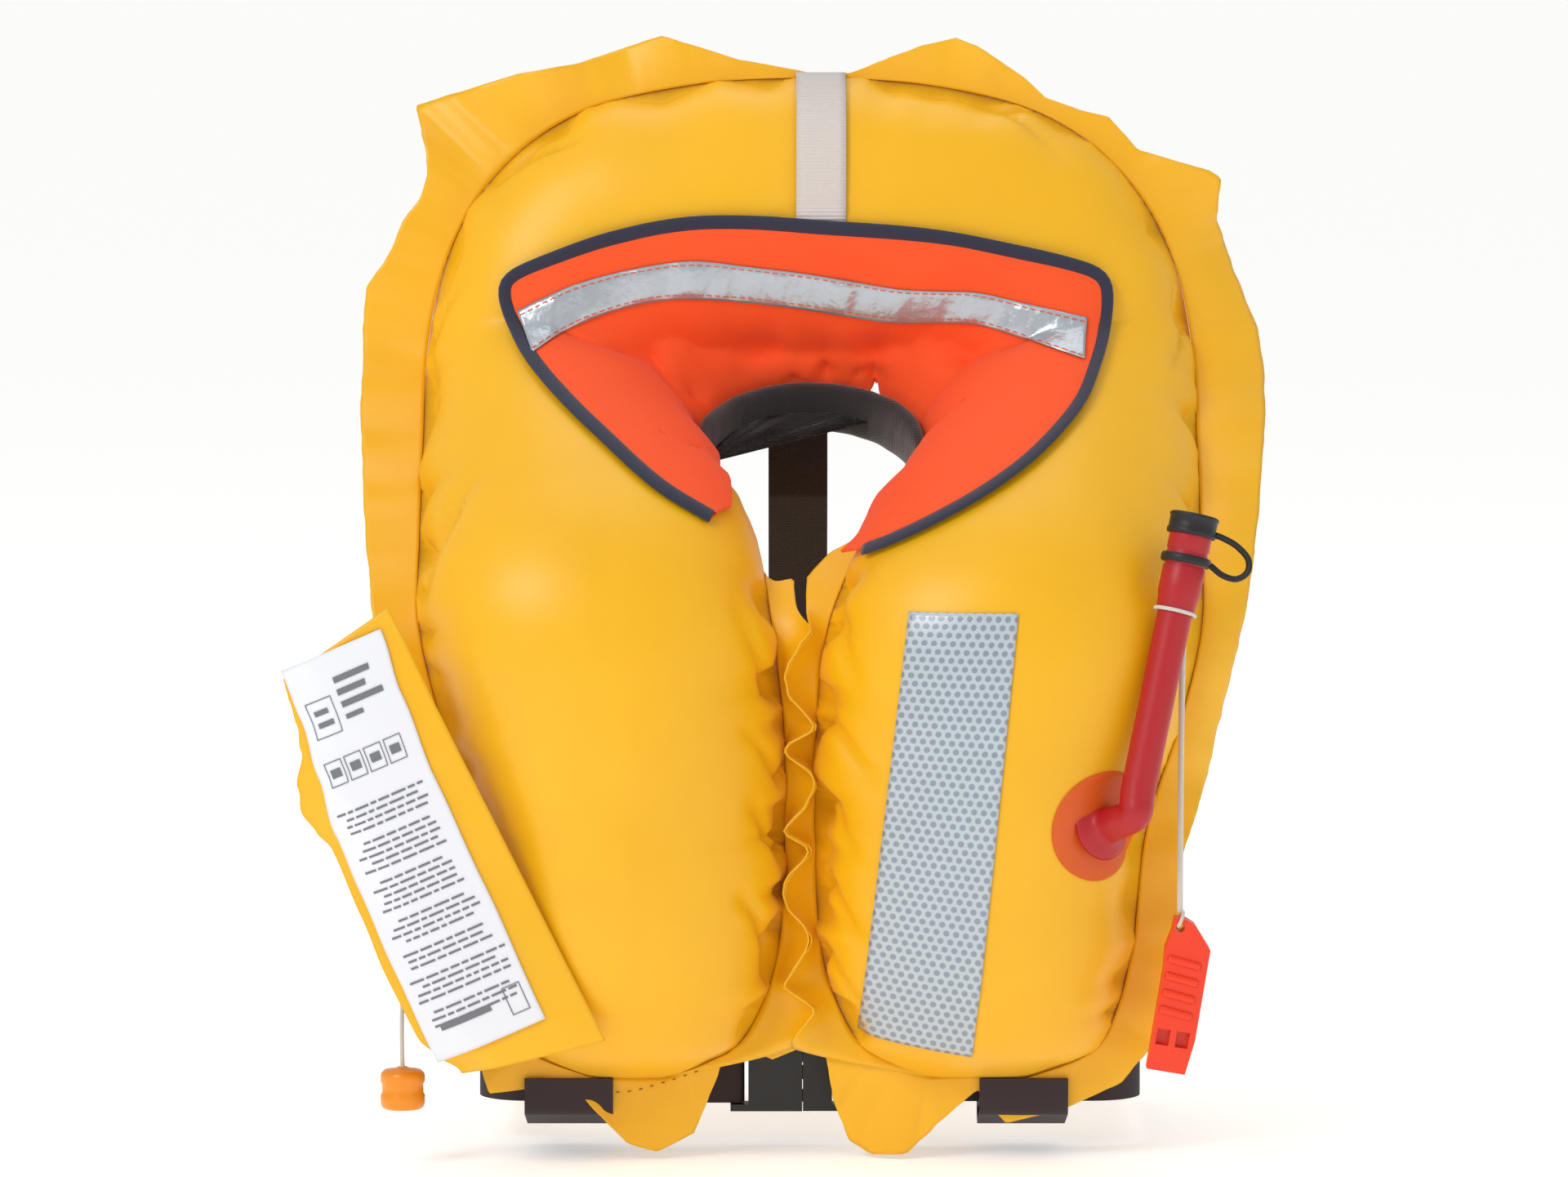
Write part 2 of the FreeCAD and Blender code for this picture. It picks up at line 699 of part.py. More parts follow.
def buckle_female():
    body = new_body("BuckleFemale")
    outline = polygon(body, "XZ_Plane", "female_outline",
                      rectangle("-buckle_long", "-buckle_high / 2", 0, "buckle_high / 2"))
    pad(body, outline, "buckle_thick", "female_block")
    way = polygon(body, "XZ_Plane", "female_way",
                  rectangle("-prong_long - 2", "-buckle_high / 2 + buckle_wall",
                            4, "buckle_high / 2 - buckle_wall"))
    pocket(body, way, "buckle_thick - 2 * buckle_wall", "female_hollow")
    window = polygon(body, "XZ_Plane", "female_window",
                     rectangle("-prong_long + 2", "-buckle_high / 2 - 4", -7, "buckle_high / 2 + 4"))
    pocket(body, window, "arm_thick + 1.6", "female_side_windows")
    for name, x0, x1 in (("outer", "-buckle_long - 2", "-buckle_long + 3 - bar_round"),
                         ("inner", "-buckle_long + 3 + bar_round", "-buckle_long + 9")):
        slot = polygon(body, "XZ_Plane", f"female_slot_{name}",
                       rectangle(x0, "-web / 2 - 0.6", x1, "web / 2 + 0.6"))
        pocket(body, slot, "buckle_thick + 4", f"female_{name}_slot")
    for name, y0, y1 in RELIEFS:
        relief = polygon(body, "XY_Plane", f"female_{name}_relief",
                         rectangle("-buckle_long + 3 - bar_round - 1", y0,
                                   "-buckle_long + 3 + bar_round + 1", y1))
        pocket(body, relief, "web + 1.2", f"female_{name}_gap")
    body.Placement = BUCKLE
    return keep(body, "buckle_female")


def buckle_male():
    body = new_body("BuckleMale")
    outline = polygon(body, "XZ_Plane", "male_outline",
                      rectangle(0.4, "-buckle_high / 2", "male_long", "buckle_high / 2"))
    pad(body, outline, "buckle_thick - 2", "male_block")
    tongue = polygon(body, "XZ_Plane", "male_tongue", rectangle("-prong_long + 2", -3.2, 1, 3.2))
    pad(body, tongue, "arm_thick", "male_guide")
    for name, x0, x1 in (("outer", "male_long - 3 + bar_round", "male_long + 2"),
                         ("inner", "male_long - 9", "male_long - 3 - bar_round")):
        slot = polygon(body, "XZ_Plane", f"male_slot_{name}",
                       rectangle(x0, "-web / 2 - 0.6", x1, "web / 2 + 0.6"))
        pocket(body, slot, "buckle_thick + 4", f"male_{name}_slot")
    for name, y0, y1 in RELIEFS:
        relief = polygon(body, "XY_Plane", f"male_{name}_relief",
                         rectangle("male_long - 3 - bar_round - 1", y0, "male_long - 3 + bar_round + 1", y1))
        pocket(body, relief, "web + 1.2", f"male_{name}_gap")
    for side in (1, -1):
        seat = polygon(body, "XZ_Plane", f"male_seat_{'upper' if side > 0 else 'lower'}",
                       rectangle(-1, side * 8.4, 4.6, side * 15.2))
        pocket(body, seat, "arm_thick + 0.8", f"male_arm_seat_{'upper' if side > 0 else 'lower'}")
    body.Placement = BUCKLE
    return keep(body, "buckle_male")


def latch_arm(side, label):
    """A springy arm of the male half whose pad stands in the female half's side window."""
    body = new_body(label.title().replace("_", ""))
    s = side
    corners = [(4.0, s * 9.0), (4.0, s * 14.6), (-2.0, s * 14.6), (-7.6, s * 16.0), (-7.6, s * 18.4),
               (-18.6, s * 18.4), ("-prong_long + 2.6", s * 14.0), ("-prong_long + 2.6", s * 9.6),
               (-12.0, s * 10.6), (-2.0, s * 9.0)]
    outline = polygon(body, "XZ_Plane", label + "_outline", corners)
    pad(body, outline, "arm_thick", label + "_plate")
    body.Placement = BUCKLE
    return keep(body, label)


buckle_female()
buckle_male()
latch_arm(1, "latch_arm_upper")
latch_arm(-1, "latch_arm_lower")

# ---------------------------------------------------------------- oral inflation tube

ELBOW = Vector(157, -165, -184)                  # where the tube bends on its foot
TUBE_WAY = Vector(0.205, 0.150, 0.967)           # direction of the tube
FOOT_BASE = Vector(144, -150, -190)              # middle of the weld patch on the lobe
FOOT_WAY = Vector(0.656, -0.755, 0.0)
PATCH_TOP = 0.9                                  # height of the round patch over the chamber
TUBE = Placement(ELBOW, Rotation(Vector(0, 0, 1), TUBE_WAY))


def tube_patch():
    """Round patch of film on the chamber under the tube's foot."""
    rod = Part.makeCylinder(size("tube_patch_od / 2"), 60, FOOT_BASE - FOOT_WAY * 30, FOOT_WAY)
    return rod.common(chamber(PATCH_TOP)).common(AHEAD).cut(CHAMBER)


def tube_foot():
    """Foot disc, short elbow and the ball on which the tube flexes."""
    r = size("tube_od / 2")
    foot = Part.makeCylinder(17, 26, FOOT_BASE - FOOT_WAY * 20, FOOT_WAY)
    foot = foot.common(chamber(2.6)).common(AHEAD).cut(chamber(PATCH_TOP))
    neck_start = FOOT_BASE - FOOT_WAY * 6
    neck_run = ELBOW - neck_start
    neck = Part.makeCylinder(r, neck_run.Length, neck_start, neck_run).cut(chamber(PATCH_TOP))
    ball = Part.makeSphere(r, ELBOW)
    return foot.fuse([neck, ball]).removeSplitter()


from_shape("TubePatch", "oral_tube_patch", tube_patch())
from_shape("TubeFoot", "oral_tube_foot", tube_foot())


def oral_tube():
    """Straight tube with a ball seat at its foot end."""
    body = new_body("OralTube")
    run = "tube_run"
    profile = polygon(body, "XZ_Plane", "tube_profile",
                      rectangle("tube_id / 2", 8.4, "tube_od / 2 + 0.6", run))
    revolve(body, profile, "tube_turn")
    body.Placement = TUBE
    seat = doc.addObject("Part::Sphere", "TubeSeat")
    set_sizes(seat, Radius="tube_od / 2 + 0.35")
    seat.Placement = TUBE
    cut = doc.addObject("Part::Cut", "OralTubeCut")
    cut.Base, cut.Tool = body, seat
    return keep(cut, "oral_tube")


oral_tube()


def up_tube(height):
    """A place on the tube's axis at a height above its elbow."""
    return Placement(ELBOW + Vector(TUBE_WAY).normalize() * size(height), TUBE.Rotation)


# the mouthpiece is pushed on to the tube's end and holds the valve
turned("Mouthpiece", "mouthpiece", [
    ("tube_od / 2 + 0.7", -10), ("mouth_od / 2 - 0.8", -10), ("mouth_od / 2", -5),
    ("mouth_od / 2", "mouth_long - 1"), ("mouth_od / 2 - 1", "mouth_long"),
    ("mouth_bore / 2", "mouth_long"), ("mouth_bore / 2", 3), ("tube_id / 2", 3),
    ("tube_id / 2", 0.2), ("tube_od / 2 + 0.7", 0.2)], up_tube("tube_run"))
turned("ValveSeat", "valve_seat", [
    (2.6, 3.1), ("mouth_bore / 2 - 0.05", 3.1), ("mouth_bore / 2 - 0.05", 7), (2.6, 7)],
    up_tube("tube_run"))
turned("ValveStem", "valve_stem", [
    (0, 8.2), (1.5, 8.2), (1.5, 24), (5.4, 24), (5.4, 26.5), (0, 28)], up_tube("tube_run"))
turned("ValveSpring", "valve_spring", [
    (2.4, 7.4), (5.0, 7.4), (5.0, 23.6), (2.4, 23.6)], up_tube("tube_run"))
turned("RetainerRing", "retainer_ring", [
    ("mouth_od / 2 + 0.1", 12), ("mouth_od / 2 + 1.8", 12), ("mouth_od / 2 + 1.8", 15.5),
    ("mouth_od / 2 + 0.1", 15.5)], up_tube("tube_run"))
turned("DustCap", "dust_cap", [
    (0, "mouth_long + 0.4"), ("mouth_od / 2 + 0.3", "mouth_long + 0.4"),
    ("mouth_od / 2 + 0.3", "mouth_long - cap_high + 2.4"), ("cap_od / 2", "mouth_long - cap_high + 2.4"),
    ("cap_od / 2", "mouth_long + 1.4"), ("cap_od / 2 - 1", "mouth_long + 2.4"), (0, "mouth_long + 2.4")],
    up_tube("tube_run"))


def cap_tether():
    """Rubber strip looping out from the retainer ring and back to the cap's rim."""
    out = size("mouth_od / 2 + 2.1")
    path = [(out, 13.5), (out + 10, 8), (out + 19, 14), (out + 14, 24), (out + 1, 28.5)]
    face = strip_face(path, 3.5, 1.4, lambda a, b: Vector(a, 0, b))
    face.translate(Vector(0, -1.5, 0))
    return face.extrude(Vector(0, 3, 0))


from_shape("CapTether", "cap_tether", cap_tether(), up_tube("tube_run"))

# ---------------------------------------------------------------- whistle and its lanyard

LANYARD_ROUTE = [Vector(183.2, -139.4, -90.5), Vector(181.5, -141.5, -102.0), Vector(181.5, -141.5, -233.5)]
WHISTLE_EYE = Vector(181.5, -141.5, -240.5)


def lanyard_turn():
    """The lanyard's turn round the tube."""
    ring = doc.addObject("Part::Torus", "LanyardTurn")
    set_sizes(ring, Radius1="tube_od / 2 + 0.7 + 1.15", Radius2=1.1)
    ring.Placement = up_tube("tube_run - 13")
    return keep(ring, "lanyard_turn")


lanyard_turn()
cord("Lanyard", "whistle_lanyard", LANYARD_ROUTE, size("lanyard"))


def whistle():
    """Flat two-chamber whistle hanging from an eye at one top corner, its weight below the eye."""
    body = new_body("Whistle")
    outline = polygon(body, "XZ_Plane", "whistle_outline", [
        ("-whistle_wide / 2 + 1", 0), ("-whistle_wide / 2 + 1", 6), (-3.5, 6), (1.0, 4),
        ("whistle_wide / 2", -7), ("whistle_wide / 2", "-whistle_long + 24"),
        ("whistle_wide / 2 - 2", "-whistle_long + 6"),
        ("-whistle_wide / 2", "-whistle_long + 6"), ("-whistle_wide / 2", -20),
        ("-whistle_wide / 2 - 1", -10)])
    pad(body, outline, "whistle_deep", "whistle_block")
    taper = polygon(body, "YZ_Plane", "whistle_taper_front", [
        ("-whistle_deep", "-whistle_long + 20"), ("-whistle_deep / 2", "-whistle_long + 20"),
        (-4.0, "-whistle_long"), ("-whistle_deep", "-whistle_long")])
    pocket(body, taper, 60.0, "whistle_taper")
    for name, x in (("left", -5.4), ("right", 4.2)):
        window = polygon(body, "XZ_Plane", f"whistle_window_{name}",
                         rectangle(x - 3.2, "-whistle_long + 19", x + 3.2, "-whistle_long + 27"), lift=2.0)
        pocket(body, window, 20.0, f"whistle_sound_{name}", both_ways=False, reverse=True)
        bore = polygon(body, "XY_Plane", f"whistle_bore_{name}",
                       rectangle(x - 2.8, -1.6, x + 2.8, 2.0), lift="-whistle_long + 5")
        pocket(body, bore, 20.0, f"whistle_way_{name}", both_ways=False, reverse=True)
    eye = disc(body, "XZ_Plane", "whistle_eye", 2.1, at=("-whistle_wide / 2 + 4.6", 1.6))
    pocket(body, eye, 40.0, "whistle_eye_hole")
    round_edges(body, 1.6, "whistle_soft_edges", lambda edge: runs_along(Vector(0, 1, 0))(edge)
                and edge.Length > size("whistle_deep - 0.1") and edge.CenterOfMass.z < 2)
    eye_at = Vector(size("-whistle_wide / 2 + 4.6"), 0, 1.6)
    hang = body.Shape.Solids[0].CenterOfMass - eye_at
    plumb = math.degrees(math.atan2(hang.x, -hang.z))
    lean = Rotation(Vector(0, 1, 0), plumb)
    body.Placement = Placement(WHISTLE_EYE - lean.multVec(eye_at), lean)
    print(f"whistle leans {plumb:.1f} degrees")
    return keep(body, "whistle")


whistle()

# ---------------------------------------------------------------- label flap and inflator

FLAP_CENTRE = Vector(-190, -158, -207.7)
FLAP_TURN = Rotation(Vector(0, 1, 0), size("flap_lean"))


def flap_place(along_x=0.0, out_y=0.0, along_z=0.0):
    """A place in the flap's leaning frame."""
    return Placement(FLAP_CENTRE + FLAP_TURN.multVec(Vector(along_x, out_y, along_z)), FLAP_TURN)


def plate(name, label, wide, long, thick, place):
    """A flat rectangular sheet with softened corners."""
    body = new_body(name)
    outline = polygon(body, "XZ_Plane", name + "_outline",
                      rectangle(f"-{wide} / 2", f"-{long} / 2", f"{wide} / 2", f"{long} / 2"))
    pad(body, outline, thick, name + "_sheet")
    round_edges(body, 2.0, name + "_corners", runs_along(Vector(0, 1, 0)))
    body.Placement = place
    return keep(body, label)


plate("LabelFlap", "label_flap", "flap_wide", "flap_long", "flap_thick", flap_place())
plate("Label", "label", "label_wide", "label_long", "label_thick",
      flap_place(-7.5, size("-flap_thick / 2 - label_thick / 2 - 0.05"), 6.0))

INFLATOR = Placement(Vector(-177, -128, -271), FLAP_TURN)
PIVOT_Z = -14.0                # the lever's pivot and its cord eye, in the inflator's frame
LEVER_EYE_AT = (-23.6, 7.6)


def in_inflator(x, y, z, turn=Rotation()):
    """A place in the inflator's leaning frame."""
    return INFLATOR.multiply(Placement(Vector(x, y, z), turn))


def inflator_body():
    body = new_body("InflatorBody")
    outline = polygon(body, "XZ_Plane", "inflator_outline",
                      rectangle("-inflator_wide / 2", "-inflator_high / 2",
                                "inflator_wide / 2", "inflator_high / 2"))
    pad(body, outline, "inflator_deep", "inflator_block")
    round_edges(body, 3.0, "inflator_corners", runs_along(Vector(0, 0, 1)))
    neck = disc(body, "XY_Plane", "cylinder_way", "neck_od / 2 + fit_gap", lift="inflator_high / 2 - 12")
    pocket(body, neck, 30.0, "cylinder_socket", both_ways=False, reverse=True)
    way = disc(body, "XY_Plane", "spike_way", "spike_od / 2 + fit_gap")
    pocket(body, way, "inflator_high - 2", "spike_bore")
    slot = polygon(body, "XZ_Plane", "lever_way", rectangle("-inflator_wide", "-inflator_high", 8, 8))
    pocket(body, slot, "lever_thick + 0.8", "lever_slot")
    pin = disc(body, "XZ_Plane", "pin_way", "pin_od / 2", at=(0, PIVOT_Z))
    pocket(body, pin, "inflator_deep + 4", "pin_hole")
    body.Placement = INFLATOR
    return keep(body, "inflator_body")


def inflator_lever():
    body = new_body("InflatorLever")
    hub = disc(body, "XZ_Plane", "lever_hub", 7.0, at=(0, PIVOT_Z))
    pad(body, hub, "lever_thick", "lever_boss")
    arm = polygon(body, "XZ_Plane", "lever_arm", [
        (-4.6, -19.2), (-26.8, 4.5), (-26.8, 10.8), (-21.5, 10.8), (4.6, -8.8)])
    pad(body, arm, "lever_thick", "lever_blade")
    pin = disc(body, "XZ_Plane", "lever_pin_hole", "pin_od / 2 + fit_gap", at=(0, PIVOT_Z))
    pocket(body, pin, 30.0, "lever_bore")
    eye = disc(body, "XZ_Plane", "lever_cord_eye", 1.6, at=LEVER_EYE_AT)
    pocket(body, eye, 30.0, "lever_eye")
    body.Placement = INFLATOR
    return keep(body, "inflator_lever")


inflator_body()
inflator_lever()

pin = doc.addObject("Part::Cylinder", "LeverPin")
set_sizes(pin, Radius="pin_od / 2", Height="inflator_deep - 1")
pin.Placement = in_inflator(0, size("inflator_deep / 2 - 0.5"), PIVOT_Z, Rotation(Vector(1, 0, 0), 90))
keep(pin, "lever_pin")

turned("PiercingPin", "piercing_pin", [
    (0, -3.0), ("spike_od / 2", -3.0), ("spike_od / 2", 6), (1.0, 8.4), (0, 9.4)], INFLATOR)

turned("Co2Cylinder", "co2_cylinder", [
    (1.8, 10.6), ("neck_od / 2", 10.6), ("neck_od / 2", 26), ("cylinder_od / 2", 38),
    ("cylinder_od / 2", "cylinder_long + 14"), ("cylinder_od / 2 - 5", "cylinder_long + 21"),
    (0, "cylinder_long + 23"), (0, 18), (1.8, 18)], INFLATOR)


MANIFOLD_WAY = FLAP_TURN.multVec(Vector(1, 0, 0))
MANIFOLD_START = INFLATOR.multVec(Vector(size("inflator_wide / 2"), 0, 4))
GASKET_TOP = 1.0               # height of the gasket over the chamber


def manifold():
    """Valve manifold from the inflator to the lobe: stem and a foot disc on the film."""
    stem = Part.makeCylinder(8, 22, MANIFOLD_START, MANIFOLD_WAY)
    foot = Part.makeCylinder(17, 40, MANIFOLD_START + MANIFOLD_WAY * 3, MANIFOLD_WAY)
    return stem.fuse(foot.common(chamber(3.0))).cut(chamber(GASKET_TOP)).removeSplitter()


def manifold_gasket():
    """Film patch under the manifold's foot."""
    disc_block = Part.makeCylinder(21, 40, MANIFOLD_START + MANIFOLD_WAY * 3, MANIFOLD_WAY)
    return disc_block.common(chamber(GASKET_TOP)).cut(CHAMBER)


from_shape("Manifold", "inflator_manifold", manifold())
from_shape("ManifoldGasket", "manifold_gasket", manifold_gasket())

# pull cord and knob hang plumb from the lever's eye
LEVER_EYE = INFLATOR.multVec(Vector(LEVER_EYE_AT[0], 0, LEVER_EYE_AT[1]))
KNOB_TOP = LEVER_EYE + Vector(0, 0, -37.2)
PULL_ROUTE = [LEVER_EYE + Vector(0, 0, -5.6), LEVER_EYE + Vector(-0.7, -0.5, -17.0), KNOB_TOP]
cord("PullCord", "pull_cord", PULL_ROUTE, size("pull_cord"))

turned("PullKnob", "pull_knob", [
    (0, 0), (3.0, 0), ("knob_od / 2 - 1.5", -1.2), ("knob_od / 2", -3), ("knob_od / 2", "-knob_long + 3"),
    ("knob_od / 2 - 1.5", "-knob_long + 1"), (0, "-knob_long")],
    Placement(KNOB_TOP, Rotation()))

# ---------------------------------------------------------------- write the sub-parts

doc.recompute()
faults = [obj.Name for obj in doc.Objects if "Invalid" in obj.State or "Error" in obj.State]
faults += [obj.Label for obj in nodes
           if obj.Shape.isNull() or not obj.Shape.isValid() or not obj.Shape.Solids]
if faults:
    raise RuntimeError(f"not sound: {faults}")
os.makedirs("parts", exist_ok=True)
for obj in nodes:
    box = obj.Shape.optimalBoundingBox()
    print(f"{obj.Label:24s} {len(obj.Shape.Solids)} solid(s) {obj.Shape.Volume / 1000:9.2f} cm3  "
          f"x {box.XMin:7.1f} {box.XMax:7.1f}  y {box.YMin:7.1f} {box.YMax:7.1f}  "
          f"z {box.ZMin:7.1f} {box.ZMax:7.1f}")
    obj.Shape.exportStep(f"parts/{obj.Label}.step")
print(len(nodes), "sub-parts written")
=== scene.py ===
"""Visual model of an inflatable life jacket, dressed on its CAD frame.

Metres, +X to the wearer's left, +Y to the wearer's back, +Z up. Sizes below are in millimetres
unless a name says otherwise.
"""

import logging
import math
import random
from collections.abc import Callable, Sequence
from dataclasses import dataclass, field
from enum import Enum, auto

import bmesh
import bpy
from mathutils import Matrix, Vector, noise
from mathutils.bvhtree import BVHTree
from mathutils.kdtree import KDTree


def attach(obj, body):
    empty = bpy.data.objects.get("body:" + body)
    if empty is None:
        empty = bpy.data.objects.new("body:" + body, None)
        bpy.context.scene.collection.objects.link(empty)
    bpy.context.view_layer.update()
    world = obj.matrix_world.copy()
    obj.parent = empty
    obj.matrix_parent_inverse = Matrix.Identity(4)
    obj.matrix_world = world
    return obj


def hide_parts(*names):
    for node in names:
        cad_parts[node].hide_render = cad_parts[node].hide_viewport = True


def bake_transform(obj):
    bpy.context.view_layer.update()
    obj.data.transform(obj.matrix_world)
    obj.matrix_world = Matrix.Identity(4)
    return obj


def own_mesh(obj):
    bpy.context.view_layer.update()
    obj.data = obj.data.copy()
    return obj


log = logging.getLogger("life_jacket")

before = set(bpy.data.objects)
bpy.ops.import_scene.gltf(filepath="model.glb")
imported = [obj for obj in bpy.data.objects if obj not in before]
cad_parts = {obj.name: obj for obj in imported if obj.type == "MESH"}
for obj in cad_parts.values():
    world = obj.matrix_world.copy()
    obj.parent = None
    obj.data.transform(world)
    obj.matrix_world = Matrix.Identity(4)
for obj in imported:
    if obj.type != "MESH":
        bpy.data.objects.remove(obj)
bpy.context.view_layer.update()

MM = 0.001
Place = Callable[[float, float], Vector]


def point(x: float, y: float, z: float) -> Vector:
    """A point in metres from millimetres."""
    return Vector((x, y, z)) * MM


def linear_colour(code: str) -> tuple[float, float, float, float]:
    """Linear RGBA of an sRGB hex code such as "#ff8800"."""
    parts = [int(code[i:i + 2], 16) / 255 for i in (1, 3, 5)]
    return (*(c / 12.92 if c <= 0.04045 else ((c + 0.055) / 1.055) ** 2.4 for c in parts), 1.0)


def smooth_step(t: float) -> float:
    """0 to 1 with level ends."""
    t = min(1.0, max(0.0, t))
    return t * t * (3 - 2 * t)


def ripple(seed: float, t: float, octaves: int = 3) -> float:
    """Smooth noise along a line, about -1 to 1."""
    return noise.fractal(Vector((t, seed * 7.31, seed * 3.17)), 0.9, 2.0, octaves)


# ------------------------------------------------------------------------------ finishes


class Pattern(Enum):
    """What a finish carries beside its even colour."""

    PLAIN = auto()
    COATED = auto()      # fine-grained film over fabric
    WOVEN = auto()       # plain weave
    RIBBED = auto()      # webbing ribs across its length
    HONEYCOMB = auto()   # hexagonal cells of reflective film
    FOIL = auto()        # crinkled silver


def add_node(tree: bpy.types.NodeTree, kind: str, inputs: dict | None = None, **settings) -> bpy.types.Node:
    """Add a shader node.

    Args:
        tree: the material's nodes.
        kind: the node's type name.
        inputs: a value, or the socket to link, for each input name or number.
        settings: properties of the node.

    Returns:
        The new node.
    """
    node = tree.nodes.new(kind)
    for name, value in settings.items():
        setattr(node, name, value)
    for key, value in (inputs or {}).items():
        if isinstance(value, bpy.types.NodeSocket):
            tree.links.new(value, node.inputs[key])
        else:
            node.inputs[key].default_value = value
    return node


@dataclass(frozen=True)
class Finish:
    """A surface finish that becomes one material."""

    name: str
    colour: str
    roughness: float = 0.5
    metallic: float = 0.0
    coat: float = 0.0
    sheen: float = 0.0
    subsurface: float = 0.0
    alpha: float = 1.0
    pattern: Pattern = Pattern.PLAIN
    pitch: float = 1.0            # mm, repeat of the pattern
    second: str = ""              # colour of the pattern's other part
    relief: float = 0.1           # mm, height of the pattern
    mottle: float = 0.0           # share by which the colour drifts

    def material(self) -> bpy.types.Material:
        """The Blender material, made once.

        Returns:
            The material.
        """
        found = bpy.data.materials.get(self.name)
        if found:
            return found
        made = bpy.data.materials.new(self.name)
        made.use_nodes = True
        tree = made.node_tree
        shader = tree.nodes["Principled BSDF"]
        for key, value in {
            "Base Color": linear_colour(self.colour), "Roughness": self.roughness,
            "Metallic": self.metallic, "Coat Weight": self.coat, "Sheen Weight": self.sheen,
            "Subsurface Weight": self.subsurface, "Alpha": self.alpha,
        }.items():
            shader.inputs[key].default_value = value
        shader.inputs["Subsurface Scale"].default_value = 0.004
        shader.inputs["Coat Roughness"].default_value = 0.25
        where = add_node(tree, "ShaderNodeTexCoord")
        if self.mottle:
            drift = add_node(tree, "ShaderNodeTexNoise",
                             {"Vector": where.outputs["Object"], "Scale": 14.0, "Detail": 3.0})
            tint = add_node(tree, "ShaderNodeHueSaturation", {
                "Color": linear_colour(self.colour),
                "Value": add_node(tree, "ShaderNodeMapRange", {
                    "Value": drift.outputs["Factor" if "Factor" in drift.outputs else "Fac"],
                    "From Min": 0.3, "From Max": 0.7,
                    "To Min": 1 - self.mottle, "To Max": 1 + self.mottle,
                }).outputs["Result"]})
            tree.links.new(tint.outputs["Color"], shader.inputs["Base Color"])
        height = self._height(tree, shader, where)
        if height is not None:
            bump = add_node(tree, "ShaderNodeBump",
                            {"Height": height, "Strength": 1.0, "Distance": self.relief * MM})
            tree.links.new(bump.outputs["Normal"], shader.inputs["Normal"])
        return made

    def _height(self, tree: bpy.types.NodeTree, shader: bpy.types.Node,
                where: bpy.types.Node) -> bpy.types.NodeSocket | None:
        """The pattern's height field; it also colours the shader where the pattern has two colours.

        Args:
            tree: the material's nodes.
            shader: its shader.
            where: its texture coordinates.

        Returns:
            The height socket, or None without a pattern.
        """
        per_metre = 1 / (self.pitch * MM)
        if self.pattern in (Pattern.COATED, Pattern.FOIL):
            grain = add_node(tree, "ShaderNodeTexNoise", {
                "Vector": where.outputs["Object"], "Scale": per_metre, "Detail": 4.0, "Roughness": 0.6})
            return grain.outputs[0]
        if self.pattern is Pattern.WOVEN:
            bands = [add_node(tree, "ShaderNodeTexWave", {
                "Vector": where.outputs["Object"], "Scale": per_metre / 2 / math.pi * 3.1,
                "Distortion": 0.3, "Detail": 0.0}, bands_direction=way).outputs["Fac"] for way in ("X", "Z")]
            crossed = add_node(tree, "ShaderNodeMath", {0: bands[0], 1: bands[1]}, operation="MULTIPLY")
            return crossed.outputs[0]
        if self.pattern is Pattern.RIBBED:
            way = add_node(tree, "ShaderNodeTexWave", {
                "Vector": where.outputs["UV"], "Scale": 0.5, "Distortion": 0.0, "Detail": 0.0},
                bands_direction="Y")
            return way.outputs["Fac"]
        if self.pattern is Pattern.HONEYCOMB:
            return self._cells(tree, shader, where)
        return None

    def _cells(self, tree: bpy.types.NodeTree, shader: bpy.types.Node,
               where: bpy.types.Node) -> bpy.types.NodeSocket:
        """Hexagonally packed spots over the UV map, whose unit is one pitch.

        Args:
            tree: the material's nodes.
            shader: its shader.
            where: its texture coordinates.

        Returns:
            The height socket.
        """
        lattice = (1.0, 1 / math.sqrt(3), 1.0)
        scaled = add_node(tree, "ShaderNodeVectorMath", {0: where.outputs["UV"], 1: lattice},
                          operation="MULTIPLY").outputs[0]
        nearest = []
        for shift in (0.0, 0.5):
            moved = add_node(tree, "ShaderNodeVectorMath", {0: scaled, 1: (shift, shift, 0)}, operation="ADD")
            part = add_node(tree, "ShaderNodeVectorMath", {0: moved.outputs[0]}, operation="FRACTION")
            centred = add_node(tree, "ShaderNodeVectorMath", {0: part.outputs[0], 1: (0.5, 0.5, 0)},
                               operation="SUBTRACT")
            wide = add_node(tree, "ShaderNodeVectorMath",
                            {0: centred.outputs[0], 1: (1, math.sqrt(3), 0)}, operation="MULTIPLY")
            nearest.append(add_node(tree, "ShaderNodeVectorMath", {0: wide.outputs[0]},
                                    operation="LENGTH").outputs["Value"])
        reach = add_node(tree, "ShaderNodeMath", {0: nearest[0], 1: nearest[1]}, operation="MINIMUM")
        share = add_node(tree, "ShaderNodeMapRange", {
            "Value": reach.outputs[0], "From Min": 0.27, "From Max": 0.37}).outputs["Result"]
        mix = add_node(tree, "ShaderNodeMix", {
            "Factor": share, "A": linear_colour(self.second), "B": linear_colour(self.colour)},
            data_type="RGBA")
        tree.links.new(mix.outputs["Result"], shader.inputs["Base Color"])
        return share


